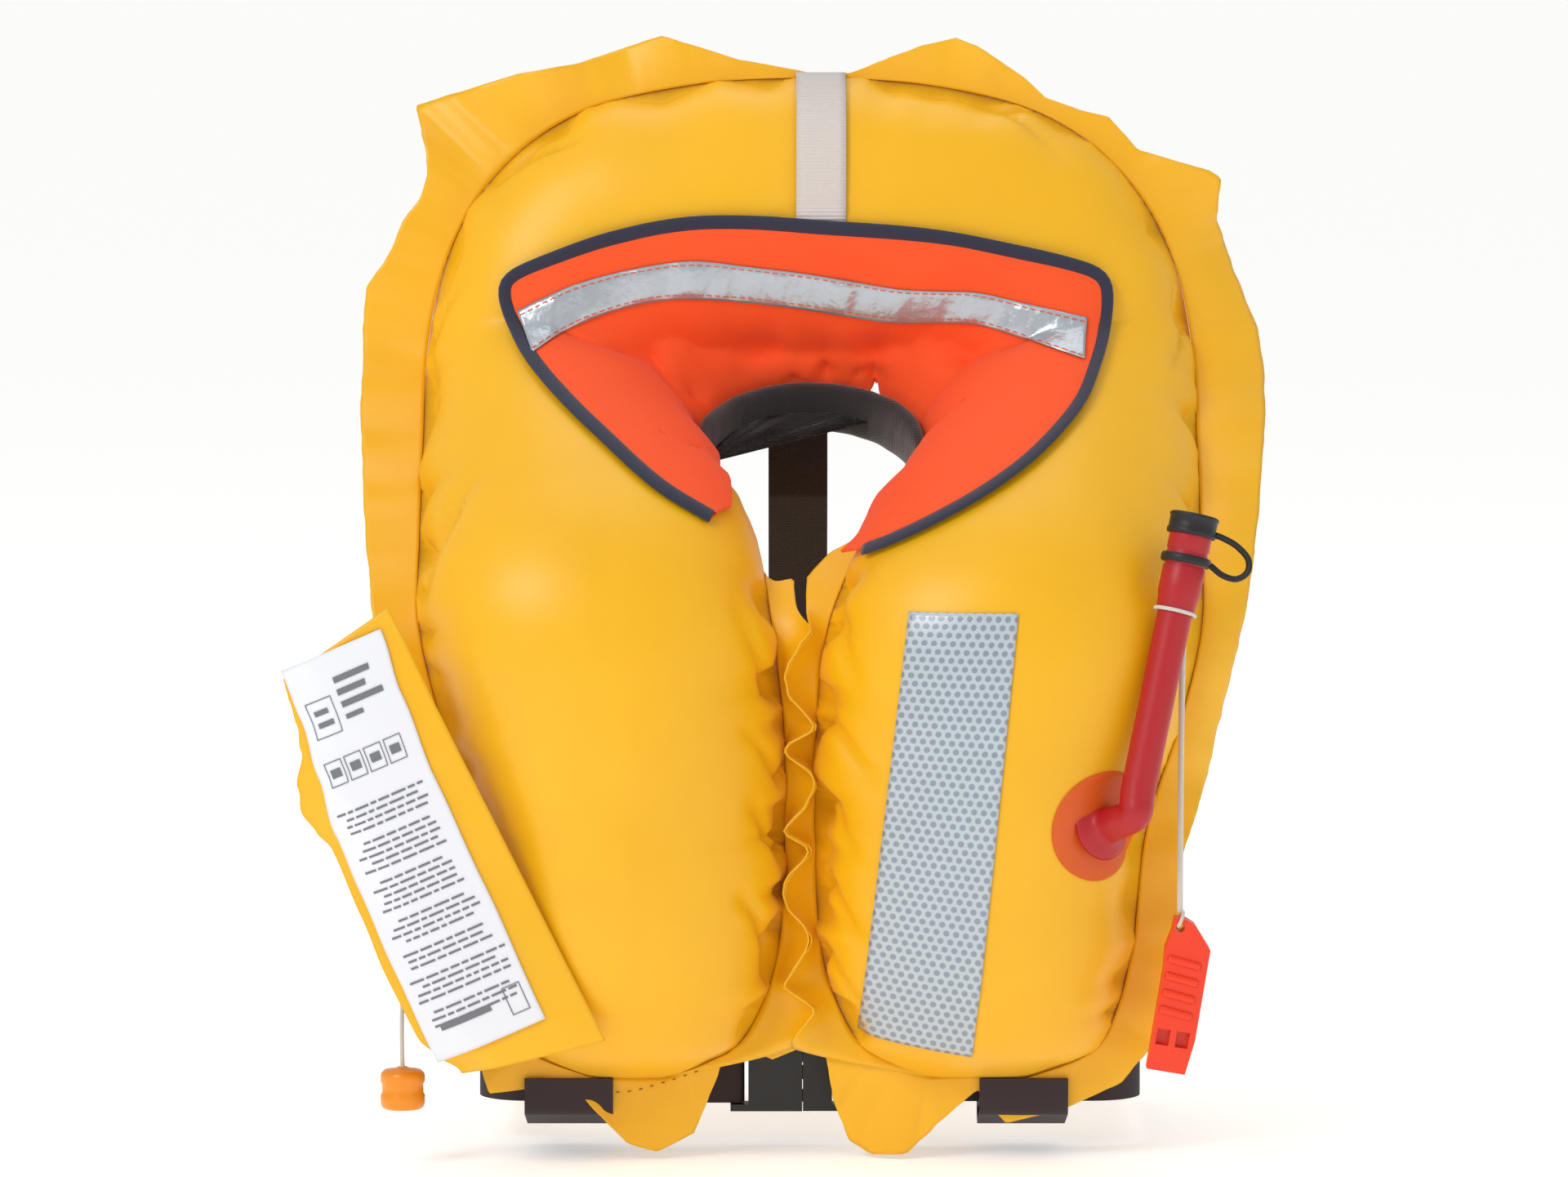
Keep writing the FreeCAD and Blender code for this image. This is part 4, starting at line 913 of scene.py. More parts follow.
@dataclass
class WeldRim:
    """The loose weld flange outside the chamber and the lips inside it."""

    chamber: Chamber
    rung: float = 2.6             # mm between the strip's rungs
    thick: float = 0.9
    neck_foot: float = -58.0      # mm, height above which the lips tuck in under the cover
    lips_top: float = -86.0       # mm, heights between which the two lips meet
    lips_foot: float = -312.0
    lips_middle: float = -6.0     # mm, the line on which they meet, and how far they lap
    lap: float = 1.0
    swing: float = 7.0            # mm, how far that line waves
    lips_proud: float = 15.0      # mm that the lips stand forward

    def seam(self, side: int, inner: bool, count: int = 260) -> list[Vector]:
        """Points of the weld line in the front view, from the top middle down, or from the foot up.

        Args:
            side: 1 for the wearer's left, -1 for the right.
            inner: the weld at the neck and the middle, not the outer one.
            count: spans along it.

        Returns:
            The points in mm.
        """
        shares = [0.5 - side * 0.5 * k / count for k in range(count + 1)]
        rings = [self.chamber.section(share) for share in shares]
        pick = -1 if inner else 1
        line = [ring.centre + ring.outward * (ring.wide * pick) for ring in rings]
        return line

    def strip(self, name: str, side: int, edge: Sequence[tuple[float, float]],
              inner: bool) -> bpy.types.Object:
        """A flange from the weld line to an edge, wavier towards the edge.

        Args:
            name: the piece's name.
            side: 1 for the wearer's left, -1 for the right.
            edge: the flange's free edge as (x, z) in mm, from the top middle to the arch.
            inner: whether it is the lip at the neck and the middle.

        Returns:
            The flange.
        """
        line = self.seam(side, inner)
        if not inner:
            foot = self.seam(side, True)[-26:]
            line = line + [p for p in reversed(foot)]
        flat = [Vector((p.x, p.z)) for p in line]
        outline = flat_path(edge if not inner else list(reversed(edge)), smooth=False)
        count = int(outline.length / (self.rung * MM))
        matches, low = [], 0
        for k in range(count + 1):
            spot = outline.at(k / count) / MM
            here = Vector((spot.x, spot.z))
            span = range(low, min(len(flat), low + 70))
            best = min(span, key=lambda i: (flat[i] - here).length)
            matches.append(best)
            low = best
        matches = self._evened(matches, len(line))
        seed = side * (2.0 if inner else 1.0) + 20

        def place(u: float, w: float) -> Vector:
            """The strip from the weld line, u = 0, to its free edge."""
            k = round(w * count)
            out = outline.at(k / count) / MM
            i = matches[k]
            base, part = line[int(i)], i - int(i)
            start = base.lerp(line[min(len(line) - 1, int(i) + 1)], part)
            end = Vector((out.x, depth_at(out.z), out.z))
            if inner:
                end = end.lerp(start, 0.75 * smooth_step((out.z - self.neck_foot) / 14))
            spot = start.lerp(end, u)
            spot.y = depth_at(spot.z)
            reach = (end - start).length
            along = k * self.rung
            wave = ripple(seed, along / 58, 2) * min(17.0, reach * 0.42) * u ** 1.3
            if not inner:
                beside = smooth_step((out.z + 230) / 90) * smooth_step((120 - out.z) / 50)
                wave += (12.0 if side > 0 else -3.0) * beside * u * u
            fine = min(3.4, reach * 0.1) * (0.25 + 0.75 * u)
            wave += ripple(seed + 5, along / 17, 2) * fine * smooth_step(u * 6)
            if inner and out.z < self.lips_top:
                lip = smooth_step((self.lips_top - out.z) / 14) * smooth_step((out.z - self.lips_foot) / 18)
                swing = self.swing * math.sin(out.z / 5.8 + 2.2 * ripple(3.0, out.z / 50))
                swing += 3.0 * ripple(8.0, out.z / 17)
                meet = self.lips_middle + swing + side * (0.8 * ripple(12.0, out.z / 12) - self.lap)
                spot.y -= (self.lips_proud + side + 2 * ripple(14.0, out.z / 30)) * u ** 1.3 * lip
                spot.x += ((start.x + (meet - start.x) * (1 - (1 - u) ** 2)) - spot.x) * lip
                wave *= 0.25
            spot.y += wave
            spot.x += 0.8 * ripple(seed + 9, along / 12) * u
            return spot * MM

        mesh = surface(place, 14, count)
        relax(mesh, 2)
        thicken(mesh, self.thick)
        return finished(mesh, name, Finishes.YELLOW, "bladder",
                        ("weld_rim",) if not inner else ())

    @staticmethod
    def _evened(matches: list[int], total: int) -> list[float]:
        """Spread runs of equal matches so that the strip's rungs never bunch at one point.

        Args:
            matches: each rung's point on the weld line.
            total: points on that line.

        Returns:
            The same, spread out.
        """
        evened = [float(m) for m in matches]
        evened[-1] = total - 1
        for _ in range(60):
            evened = [evened[0]] + [(a + 2 * b + c) / 4 for a, b, c in zip(evened, evened[1:], evened[2:])] \
                + [evened[-1]]
        return evened

    def build(self) -> list[bpy.types.Object]:
        """Left flange and lip, then right flange and lip.

        Returns:
            The four strips.
        """
        made = []
        for side, edge, lip, label in ((1, EDGE_LEFT, LIP_LEFT, "left"),
                                       (-1, EDGE_RIGHT, LIP_RIGHT, "right")):
            made.append(self.strip(f"weld_flange_{label}", side, edge, False))
            made.append(self.strip(f"weld_lip_{label}", side, lip, True))
        return made


# ------------------------------------------------------------------------------ cover


@dataclass
class Cover:
    """Orange cover round the neck with its binding and reflective tape."""

    outer: Sequence[tuple[float, float]] = (
        (-50, -42), (-76, -26), (-103, -3), (-122, 14), (-140, 34), (-149, 52), (-153, 68), (-149, 72),
        (-140, 77), (-103, 91), (-66, 99), (-30, 100), (3, 98), (34, 96), (64, 93), (96, 87), (126, 80),
        (144, 74), (148, 69), (148, 58), (146, 42), (140, 26), (134, 13), (121, -2), (105, -16),
        (84, -30), (64, -41), (46, -50), (28, -58))
    inner: Sequence[tuple[float, float, float]] = (
        (-46, -94, -44), (-47, -76, -34), (-53, -48, -20), (-56, -34, -12), (-52, -20, -4), (-45, -8, 3),
        (-37, 2, 8), (-22, 9, 11), (0, 10, 11), (22, 9, 11), (37, 2, 8), (45, -8, 3), (52, -20, -5),
        (56, -34, -14), (49, -50, -24), (36, -72, -38), (24, -92, -52), (15, -101, -60))
    tape_top: Sequence[tuple[float, float]] = (
        (-147, 56), (-133, 63), (-119, 69), (-98, 75), (-78, 79), (-58, 81), (-30, 78), (-5, 75),
        (20, 71), (44, 67), (66, 66), (85, 65), (112, 59), (139, 53))
    tape_foot: Sequence[tuple[float, float]] = (
        (-139, 36), (-127, 44), (-113, 51), (-96, 57), (-78, 61), (-58, 62), (-30, 60), (-5, 57),
        (20, 53), (44, 50), (66, 50), (85, 49), (112, 41), (137, 33))
    clear: float = 2.0            # mm off the chamber
    folds: float = 3.4            # mm, depth of its broad folds and of its fine ones
    crinkles: float = 1.6
    thick: float = 1.4
    rung: float = 3.0             # mm between rows of its mesh

    def build(self, chamber: bpy.types.Object) -> list[bpy.types.Object]:
        """Cover, binding, tape and stitching on the chamber.

        Args:
            chamber: what it lies on.

        Returns:
            Its pieces.
        """
        tree = tree_of(chamber)
        outer = flat_path(self.outer)
        inner = Path([point(*p) for p in self.inner])
        count = int(outer.length / (self.rung * MM))

        def outer_spot(w: float) -> Vector:
            """The outer edge on the chamber at a share of its length."""
            spot = outer.at(w)
            return from_front(tree, spot, 2.2) or tree.find_nearest(spot)[0]

        rim = [outer_spot(k / count) for k in range(count + 1)]
        for _ in range(3):
            rim = [rim[0]] + [(a + b + c) / 3 for a, b, c in zip(rim, rim[1:], rim[2:])] + [rim[-1]]

        def place(u: float, w: float) -> Vector:
            """The cover from its outer edge to its inner one, lying on the chamber in loose folds."""
            start, end = rim[round(w * count)], inner.at(w)
            spot = start.lerp(end, u)
            met = from_front(tree, spot, self.clear)
            nearest, normal, _, _ = tree.find_nearest(spot)
            settled = met if met is not None and met.y < spot.y + 0.02 else spot
            settled = settled.lerp(spot, smooth_step((u - 0.72) / 0.28))
            if (settled - nearest).dot(normal) < 0.9 * self.clear * MM:
                settled = nearest + normal * self.clear * MM
            full = math.sin(math.pi * min(1.0, u * 1.15)) if u < 0.87 else 0.0
            loose = self.folds * abs(ripple(31, w * 9 + u * 1.4, 3)) \
                + self.crinkles * abs(ripple(37, w * 26 - u * 2, 2))
            return settled + Vector((0, -1, 0)) * loose * full * MM

        mesh = surface(place, 44, count)
        relax(mesh, 9)
        relax(mesh, 2, keep_rim=False)
        thicken(mesh, self.thick)
        cover = finished(mesh, "cover", Finishes.ORANGE, "bladder", ("protective_cover",))
        made = [cover]
        on_cover = tree_of(cover)
        made.append(self._binding(rim))
        made.append(self._tape(on_cover))
        on_tape = tree_of(made[-1])
        for label, edge, other in (("upper", self.tape_top, self.tape_foot),
                                   ("lower", self.tape_foot, self.tape_top)):
            row = [tuple(0.9 * a + 0.1 * b for a, b in zip(p, q)) for p, q in zip(edge, other)]
            made.append(stitches(flat_path(row), on_tape, f"tape_stitches_{label}", Finishes.THREAD,
                                 "bladder"))
        return made

    def _binding(self, rim: Sequence[Vector]) -> bpy.types.Object:
        """Folded tape along the cover's outer edge.

        Args:
            rim: points along the cover's outer edge.

        Returns:
            The piece.
        """
        path = Path([p + Vector((0, -1.2 * MM, 0)) for p in rim[::2]])
        mesh = tube(path, lambda share: 4.1, int(path.length / (self.rung * MM)), sides=14, flat=0.42)
        return finished(mesh, "cover_edge_binding", Finishes.NAVY, "bladder", ("cover_binding",))

    def _tape(self, tree: BVHTree) -> bpy.types.Object:
        """Silver tape, crinkled on the cover.

        Args:
            tree: the cover's surface.

        Returns:
            The piece.
        """
        top, foot = flat_path(self.tape_top), flat_path(self.tape_foot)

        def place(u: float, w: float) -> Vector:
            """The tape from its upper edge to its lower one, creased."""
            spot = top.at(w).lerp(foot.at(w), u)
            met = from_front(tree, spot, 0.7) or spot
            crease = abs(ripple(51, w * 16 + 0.5 * u, 2)) + 0.4 * abs(ripple(57, w * 40 + u, 2))
            return met + Vector((0, -1, 0)) * 2.0 * crease * MM * smooth_step(4 * min(u, 1 - u) + 0.2)

        mesh = surface(place, 14, 190)
        thicken(mesh, 0.5)
        return finished(mesh, "cover_tape", Finishes.SILVER, "bladder", ("cover_reflective_tape",))


# ------------------------------------------------------------------------------ flat trims


@dataclass
class Trims:
    """Reflective film, lifting band, nape pad and weld marks."""

    film_wide: float = 53.0
    film_long: float = 214.0
    film_top: tuple[float, float, float] = (48.2, 101.2, -84.8)
    film_foot: tuple[float, float, float, float] = (23.7, -295.4, 79.6, -305.7)
    band_wide: float = 25.0
    band_x: float = 6.0
    band_gap: float = 2.9         # mm off the collar's section
    band_foot: float = 93.0       # mm, lowest height of its ends
    band_start: float = -6.0      # degrees round the section
    band_sweep: float = 192.0
    pad_round: float = 50.0
    pad_thick: float = 9.0
    pad_high: float = 26.0
    pad_sweep: float = 190.0
    pad_tilt: float = 27.0
    pad_lift: float = 4.0

    def film(self, tree: BVHTree) -> bpy.types.Object:
        """Honeycomb film on the wearer's left lobe.

        Args:
            tree: the chamber's surface.

        Returns:
            The piece.
        """
        left, right, top = self.film_top
        foot_x, foot_z, far_x, far_z = self.film_foot

        def place(u: float, w: float) -> Vector:
            """The film on the lobe, from its foot up."""
            head = point(left + (right - left) * u, 0, top)
            foot = point(foot_x + (far_x - foot_x) * u, 0, foot_z + (far_z - foot_z) * u)
            spot = foot.lerp(head, w)
            return from_front(tree, spot, 0.6) or spot

        pitch = Finishes.PRISM.pitch
        mesh = surface(place, 24, 96, uv_size=(self.film_wide / pitch, self.film_long / pitch))
        relax(mesh, 3)
        thicken(mesh, 0.35)
        return finished(mesh, "honeycomb_film", Finishes.PRISM, "bladder", ("honeycomb_tape",))

    def band(self, chamber: Chamber) -> bpy.types.Object:
        """White webbing over the collar.

        Args:
            chamber: what it goes round.

        Returns:
            The piece.
        """
        ring = chamber.section(0.5)

        def place(u: float, w: float) -> Vector:
            """The band round the collar's section, from its front end over the top to its back end."""
            angle = math.radians(self.band_start + w * self.band_sweep)
            spot = ring.centre + ring.outward * (ring.wide + self.band_gap) * math.sin(angle) + \
                ring.forward * (ring.deep + self.band_gap) * math.cos(angle)
            sway = 1.6 * math.sin(w * 5)
            spot.x = self.band_x + (u - 0.5) * self.band_wide - 1.5 + (1 - w) * 1.0 + sway * 0.3
            spot.z = max(spot.z, self.band_foot)
            return spot * MM

        mesh = surface(place, 6, 120, uv_size=(1, 190 / Finishes.WHITE_WEB.pitch))
        thicken(mesh, 1.2)
        return finished(mesh, "white_lifting_band", Finishes.WHITE_WEB, "bladder", ("lifting_band",))

    def pad(self) -> bpy.types.Object:
        """Soft pad round the nape.

        Returns:
            The piece.
        """
        tilt = Matrix.Rotation(math.radians(self.pad_tilt), 4, "X")
        middle = self.pad_round + self.pad_thick / 2
        base = tilt @ Vector((0, -self.pad_round, 0)) + Vector((0, 0, self.pad_lift))

        def place(u: float, w: float) -> Vector:
            """The pad's rounded section, u round it and w along its arc."""
            angle = math.radians((w - 0.5) * self.pad_sweep)
            end = min(1.0, 7 * min(w, 1 - w) + 0.02) ** 0.5
            turn = u * math.tau
            c, s = math.cos(turn), math.sin(turn)
            thick = self.pad_thick * 0.62 * end * (1 + 0.10 * ripple(61, w * 14 + u * 2, 2))
            high = (self.pad_high / 2 + 0.8) * (0.5 + 0.5 * end) + 1.2 * ripple(67, w * 7, 2)
            out = middle + thick * math.copysign(abs(c) ** 0.8, c)
            up = high * math.copysign(abs(s) ** 0.8, s)
            return (tilt @ Vector((out * math.sin(angle), out * math.cos(angle), up)) + base) * MM

        mesh = surface(place, 40, 120, closed=True)
        bmesh.ops.holes_fill(mesh, edges=[e for e in mesh.edges if e.is_boundary], sides=0)
        bmesh.ops.recalc_face_normals(mesh, faces=mesh.faces)
        pad = finished(mesh, "nape_pad_soft", Finishes.PAD, "bladder", ("nape_pad",))
        return pad

    def marks(self, tree: BVHTree) -> bpy.types.Object:
        """Row of small weld marks at the foot of the wearer's right lobe."""
        row = flat_path([(-110, -327), (-92, -328), (-72, -323), (-54, -317)])
        return stitches(row, tree, "weld_marks", Finishes.BROWN, "bladder", gap=5.6, size=(1.6, 0.4, 1.1))


# ------------------------------------------------------------------------------ belt


@dataclass
class Belt:
    """The front webbing that draws out with the buckle's male half."""

    y: float = -56.0
    z: float = -325.0
    web: float = 30.0
    thick: float = 2.0
    bar_x: float = 17.0
    bar: float = 3.1
    seam_x: float = 134.0

    def front_webbing(self) -> bpy.types.Object:
        """Webbing from its seam, round the male half's bar and back.

        Returns:
            The piece.
        """
        back = self.y - 2 * self.bar
        turn = [(self.bar_x - self.bar * math.sin(a), self.y - self.bar + self.bar * math.cos(a))
                for a in (math.pi * k / 8 for k in range(9))]
        line = [(self.seam_x, self.y), (self.seam_x - 40, self.y)] + turn + [(self.bar_x + 18, back)]
        path = Path([point(x, y, self.z) for x, y in line], smooth=False)

        def place(u: float, w: float) -> Vector:
            """The webbing's middle sheet."""
            return path.at(w) + point(0, 0, (u - 0.5) * self.web)

        mesh = surface(place, 6, 90)
        thicken(mesh, self.thick)
        belt = finished(mesh, "front_webbing", Finishes.BLACK_WEB, "bladder", ("belt_front_webbing",))
        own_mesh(belt)
        return belt


# ------------------------------------------------------------------------------ oral tube


@dataclass
class OralTube:
    """Red oral inflation tube with its mouthpiece, cap, tether and weld patch."""

    elbow: tuple[float, float, float] = (157, -165, -184)
    way: tuple[float, float, float] = (0.205, 0.150, 0.967)
    base: tuple[float, float, float] = (144, -150, -190)
    out: tuple[float, float, float] = (0.656, -0.755, 0.0)
    run: float = 115.0
    radius: float = 8.6
    mouth: float = 10.5
    patch: float = 27.5
    cord_turn: float = 102.0      # mm above the elbow, where the lanyard goes round the tube

    def up(self, height: float) -> Matrix:
        """A place on the tube's axis at a height in mm above its elbow."""
        way = Vector(self.way).normalized()
        spot = (Vector(self.elbow) + way * height) * MM
        return Matrix.Translation(spot) @ way.to_track_quat("Z", "Y").to_matrix().to_4x4()

    def build(self, tree: BVHTree) -> list[bpy.types.Object]:
        """Every piece of the tube."""
        return [self._patch(tree), self._hose(), self._mouthpiece(), self._cap(), self._ring(),
                self._tether(), self._cord_turn()]

    def _patch(self, tree: BVHTree) -> bpy.types.Object:
        """Round translucent film on the lobe.

        Args:
            tree: the chamber's surface.

        Returns:
            The piece.
        """
        out = Vector(self.out).normalized()
        side = Vector((0, 0, 1)).cross(out).normalized()
        centre = Vector(self.base)

        def place(u: float, w: float) -> Vector:
            """The disc cast onto the lobe along the tube's foot."""
            r, a = self.patch * u, w * math.tau
            spot = centre + side * r * math.cos(a) + Vector((0, 0, 1)) * r * math.sin(a)
            hit, normal, _, _ = tree.ray_cast((spot + out * 60) * MM, -out)
            return hit + normal * 0.5 * MM if hit else spot * MM

        mesh = surface(place, 12, 64)
        bmesh.ops.remove_doubles(mesh, verts=mesh.verts, dist=2e-5)
        relax(mesh, 2)
        thicken(mesh, 0.4)
        return finished(mesh, "tube_weld_patch", Finishes.FILM, "bladder", ("oral_tube_patch",))

    def _hose(self) -> bpy.types.Object:
        """Foot, bend and straight run in one hose.

        Returns:
            The piece.
        """
        base, elbow, way = Vector(self.base), Vector(self.elbow), Vector(self.way).normalized()
        out = (elbow - base).normalized()
        bend = [base - out * 3, base + out * 3, base.lerp(elbow, 0.62)]
        bend += [elbow + out * 1.5 + way * 1.0, elbow + way * 9 + out * 0.6, elbow + way * 20,
                 elbow + way * 60, elbow + way * (self.run - 2)]
        path = Path([p * MM for p in bend])

        def radius(share: float) -> float:
            """The hose's radius, flared where it meets the lobe."""
            reach = share * path.length / MM
            flare = 8.0 * math.exp(-((reach / 3.6) ** 2))
            return self.radius + flare - 0.7 * math.exp(-(((reach - 24) / 7) ** 2))

        mesh = tube(path, radius, 110, sides=32)
        hose = finished(mesh, "oral_hose", Finishes.RED, None, ("oral_tube", "oral_tube_foot"))
        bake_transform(hose)
        return hose

    def _turned(self, profile: Sequence[tuple[float, float]], name: str, finish: Finish, body: str,
                node: str) -> bpy.types.Object:
        """A turned piece on the tube's axis, heights measured from the end of its straight run."""
        return finished(spun(profile, self.up(self.run), 64), name, finish, body, (node,))

    def _mouthpiece(self) -> bpy.types.Object:
        """Turned mouthpiece with a flare and grip grooves."""
        m, r = self.mouth, self.radius
        profile = [(r - 0.4, -12), (r + 0.5, -12), (m - 1.0, -10.5), (m - 0.6, -6), (m, -3), (m, 9.5),
                   (m - 0.5, 10.4), (m - 0.5, 11.6), (m, 12.2), (m, 16.4), (m - 0.5, 17.2), (m - 0.5, 18.0),
                   (m, 18.8), (m, 32.6), (m - 1.0, 34), (7.2, 34), (7.0, 33), (7.0, 6), (4.5, 3), (4.5, 0.2),
                   (r - 0.4, 0.2), (r - 0.4, -12)]
        return self._turned(profile, "tube_mouthpiece", Finishes.RED, "tube", "mouthpiece")

    def _cap(self) -> bpy.types.Object:
        """Black dust cap with a ribbed skirt."""
        top, skirt = 36.4, 25.9
        profile = [(0, 34.4), (self.mouth + 0.3, 34.4), (self.mouth + 0.3, skirt), (11.9, skirt),
                   (12.3, skirt + 0.8), (12.3, skirt + 2.4), (11.8, skirt + 3.0), (11.8, top - 2.2),
                   (12.3, top - 1.6), (12.2, top - 0.7), (11.2, top), (3, top), (0, top - 0.6)]
        return self._turned(profile, "tube_cap", Finishes.RUBBER, "cap", "dust_cap")

    def _ring(self) -> bpy.types.Object:
        """Black ring that holds the cap's tether."""
        m = self.mouth
        profile = [(m + 0.05, 11.6), (m + 1.4, 11.6), (m + 1.9, 12.4), (m + 1.9, 15.0), (m + 1.4, 15.8),
                   (m + 0.05, 15.8), (m + 0.05, 11.6)]
        return self._turned(profile, "tether_ring", Finishes.RUBBER, "tube", "retainer_ring")

    def _tether(self) -> bpy.types.Object:
        """Rubber loop from the ring out and back to the cap.

        Returns:
            The piece.
        """
        place = self.up(self.run)
        out = self.mouth + 1.6
        way = Vector((1, 0, 0))
        axis = place.to_3x3() @ Vector((0, 0, 1))
        side = (way - axis * way.dot(axis)).normalized()
        root = place.translation
        route = [(out, 13.6), (out + 7, 10.0), (out + 14, 9.6), (out + 18.6, 14.0), (out + 17.6, 20.4),
                 (out + 11, 25.4), (out + 4, 27.8), (out - 0.6, 28.6)]
        path = Path([root + side * a * MM + axis * b * MM for a, b in route])
        mesh = tube(path, lambda share: 1.7, 60, sides=12, flat=0.7)
        tether = finished(mesh, "cap_tether_loop", Finishes.RUBBER, None, ("cap_tether",))
        path.at(0.3)
        path.at(0.95)
        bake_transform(tether)
        return tether

    def _cord_turn(self) -> bpy.types.Object:
        """White cord knotted round the tube.

        Returns:
            The piece.
        """
        place = self.up(self.cord_turn)
        path = Path([place @ point(9.9 * math.cos(a), 9.9 * math.sin(a), 1.1 * math.sin(a / 2 + 0.6))
                     for a in (math.tau * k / 30 for k in range(31))])
        ring = tube(path, lambda share: 0.95, 90, sides=10)
        knot = bmesh.new()
        bmesh.ops.create_icosphere(knot, subdivisions=3, radius=2.1 * MM)
        knot.transform(Matrix.Translation(point(183.2, -139.4, -90.0)))
        return finished(merged([ring, knot]), "lanyard_tie", Finishes.CORD, "tube", ("lanyard_turn",))


# ------------------------------------------------------------------------------ cords and whistle


@dataclass
class Cords:
    """The whistle's lanyard, the inflator's pull cord and what hangs on them."""

    lanyard_route: Sequence[tuple[float, float, float]] = (
        (183.2, -139.4, -90.5), (181.5, -141.5, -102.0), (181.5, -141.5, -233.5))
    lanyard: float = 3.0
    lanyard_length: float = 143.3
    pull_route: Sequence[tuple[float, float, float]] = (
        (-201.5, -128.0, -280.4), (-202.2, -128.5, -291.8), (-201.5, -128.0, -312.0))
    pull: float = 2.2
    pull_length: float = 31.6
    knob_top: tuple[float, float, float] = (-201.5, -128.0, -312.0)
    whistle_eye: tuple[float, float, float] = (181.5, -141.5, -240.5)
    whistle_middle: tuple[float, float, float] = (5.9, 0.0, -1.6)    # from the eye, in the whistle's lean
    whistle_lean: float = 9.4
    ribs: int = 4
    rib_pitch: float = 8.4
    rib_size: tuple[float, float, float] = (17.0, 3.2, 4.2)

    def _curve(self, name: str, route: Sequence[tuple[float, float, float]], diameter: float,
               body: str, node: str) -> bpy.types.Object:
        """A cord as a smooth curve through its route's points.

        Args:
            name: the piece's name.
            route: its points in mm.
            diameter: in mm.
            body: the CAD body it rides.
            node: the CAD node it stands for.

        Returns:
            The curve object.
        """
        data = bpy.data.curves.new(name, "CURVE")
        data.dimensions = "3D"
        data.bevel_depth = diameter / 2 * MM
        data.bevel_resolution = 5
        data.use_fill_caps = True
        spline = data.splines.new("NURBS")
        spline.points.add(len(route) - 1)
        for knot, spot in zip(spline.points, route):
            knot.co = (*point(*spot), 1)
        spline.order_u = 3
        spline.use_endpoint_u = True
        spline.resolution_u = 24
        data.materials.append(Finishes.CORD.material())
        obj = bpy.data.objects.new(name, data)
        bpy.context.scene.collection.objects.link(obj)
        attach(obj, body)
        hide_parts(node)
        return obj

    def build(self) -> list[bpy.types.Object]:
        """Both cords, the whistle's grips and the knob.

        Returns:
            The pieces.
        """
        lanyard = self._curve("lanyard_cord", self.lanyard_route, self.lanyard, "lanyard", "whistle_lanyard")
        [c * MM for c in self.lanyard_route[0]]
        knob = self._knob()
        pull = self._curve("inflator_pull_cord", self.pull_route, self.pull, "pull", "pull_cord")
        [c * MM for c in self.pull_route[0]]
        return [lanyard, pull, knob, *self._whistle_details()]

    def _knob(self) -> bpy.types.Object:
        """Amber pull knob with a grooved grip."""
        place = Matrix.Translation(point(*self.knob_top))
        profile = [(0, 0), (2.4, 0), (3.4, -0.8), (9.0, -1.6), (10.6, -3.0), (11.0, -4.6), (11.0, -7.4),
                   (10.3, -8.4), (10.3, -13.0), (11.0, -14.0), (11.0, -18.2), (10.2, -20.2), (8.6, -21),
                   (0, -21)]
        return finished(spun(profile, place, 64), "pull_knob_grip", Finishes.KNOB, "pull", ("pull_knob",))

    def _whistle_details(self) -> list[bpy.types.Object]:
        """Grip ribs and the lanyard's loop at the eye.

        Returns:
            The ribs and the loop.
        """
        lean = Matrix.Rotation(math.radians(self.whistle_lean), 4, "Y")
        eye = point(*self.whistle_eye)
        local = Matrix.Translation(eye) @ lean @ Matrix.Translation(point(*self.whistle_middle))
        turn = Matrix.Rotation(math.radians(6), 4, "Y")
        parts = []
        for row in range(self.ribs):
            at = local @ Matrix.Translation(point(-1.2, -7.0, -15 - row * self.rib_pitch)) @ turn
            parts.append(block(self.rib_size, at, bevel=1.4))
        ribs = finished(merged(parts), "whistle_grips", Finishes.WHISTLE, "whistle_body")
        loop = Path([eye + point(2.6 * math.cos(a) * 0.6, 8.6 * math.sin(a), 3.4 + 3.6 * math.cos(a))
                     for a in (math.tau * k / 16 for k in range(17))])
        ring = finished(tube(loop, lambda share: 0.9, 48, sides=10), "whistle_eye_loop", Finishes.CORD,
                        "whistle_body", ())
        return [ribs, ring]


# ------------------------------------------------------------------------------ label flap


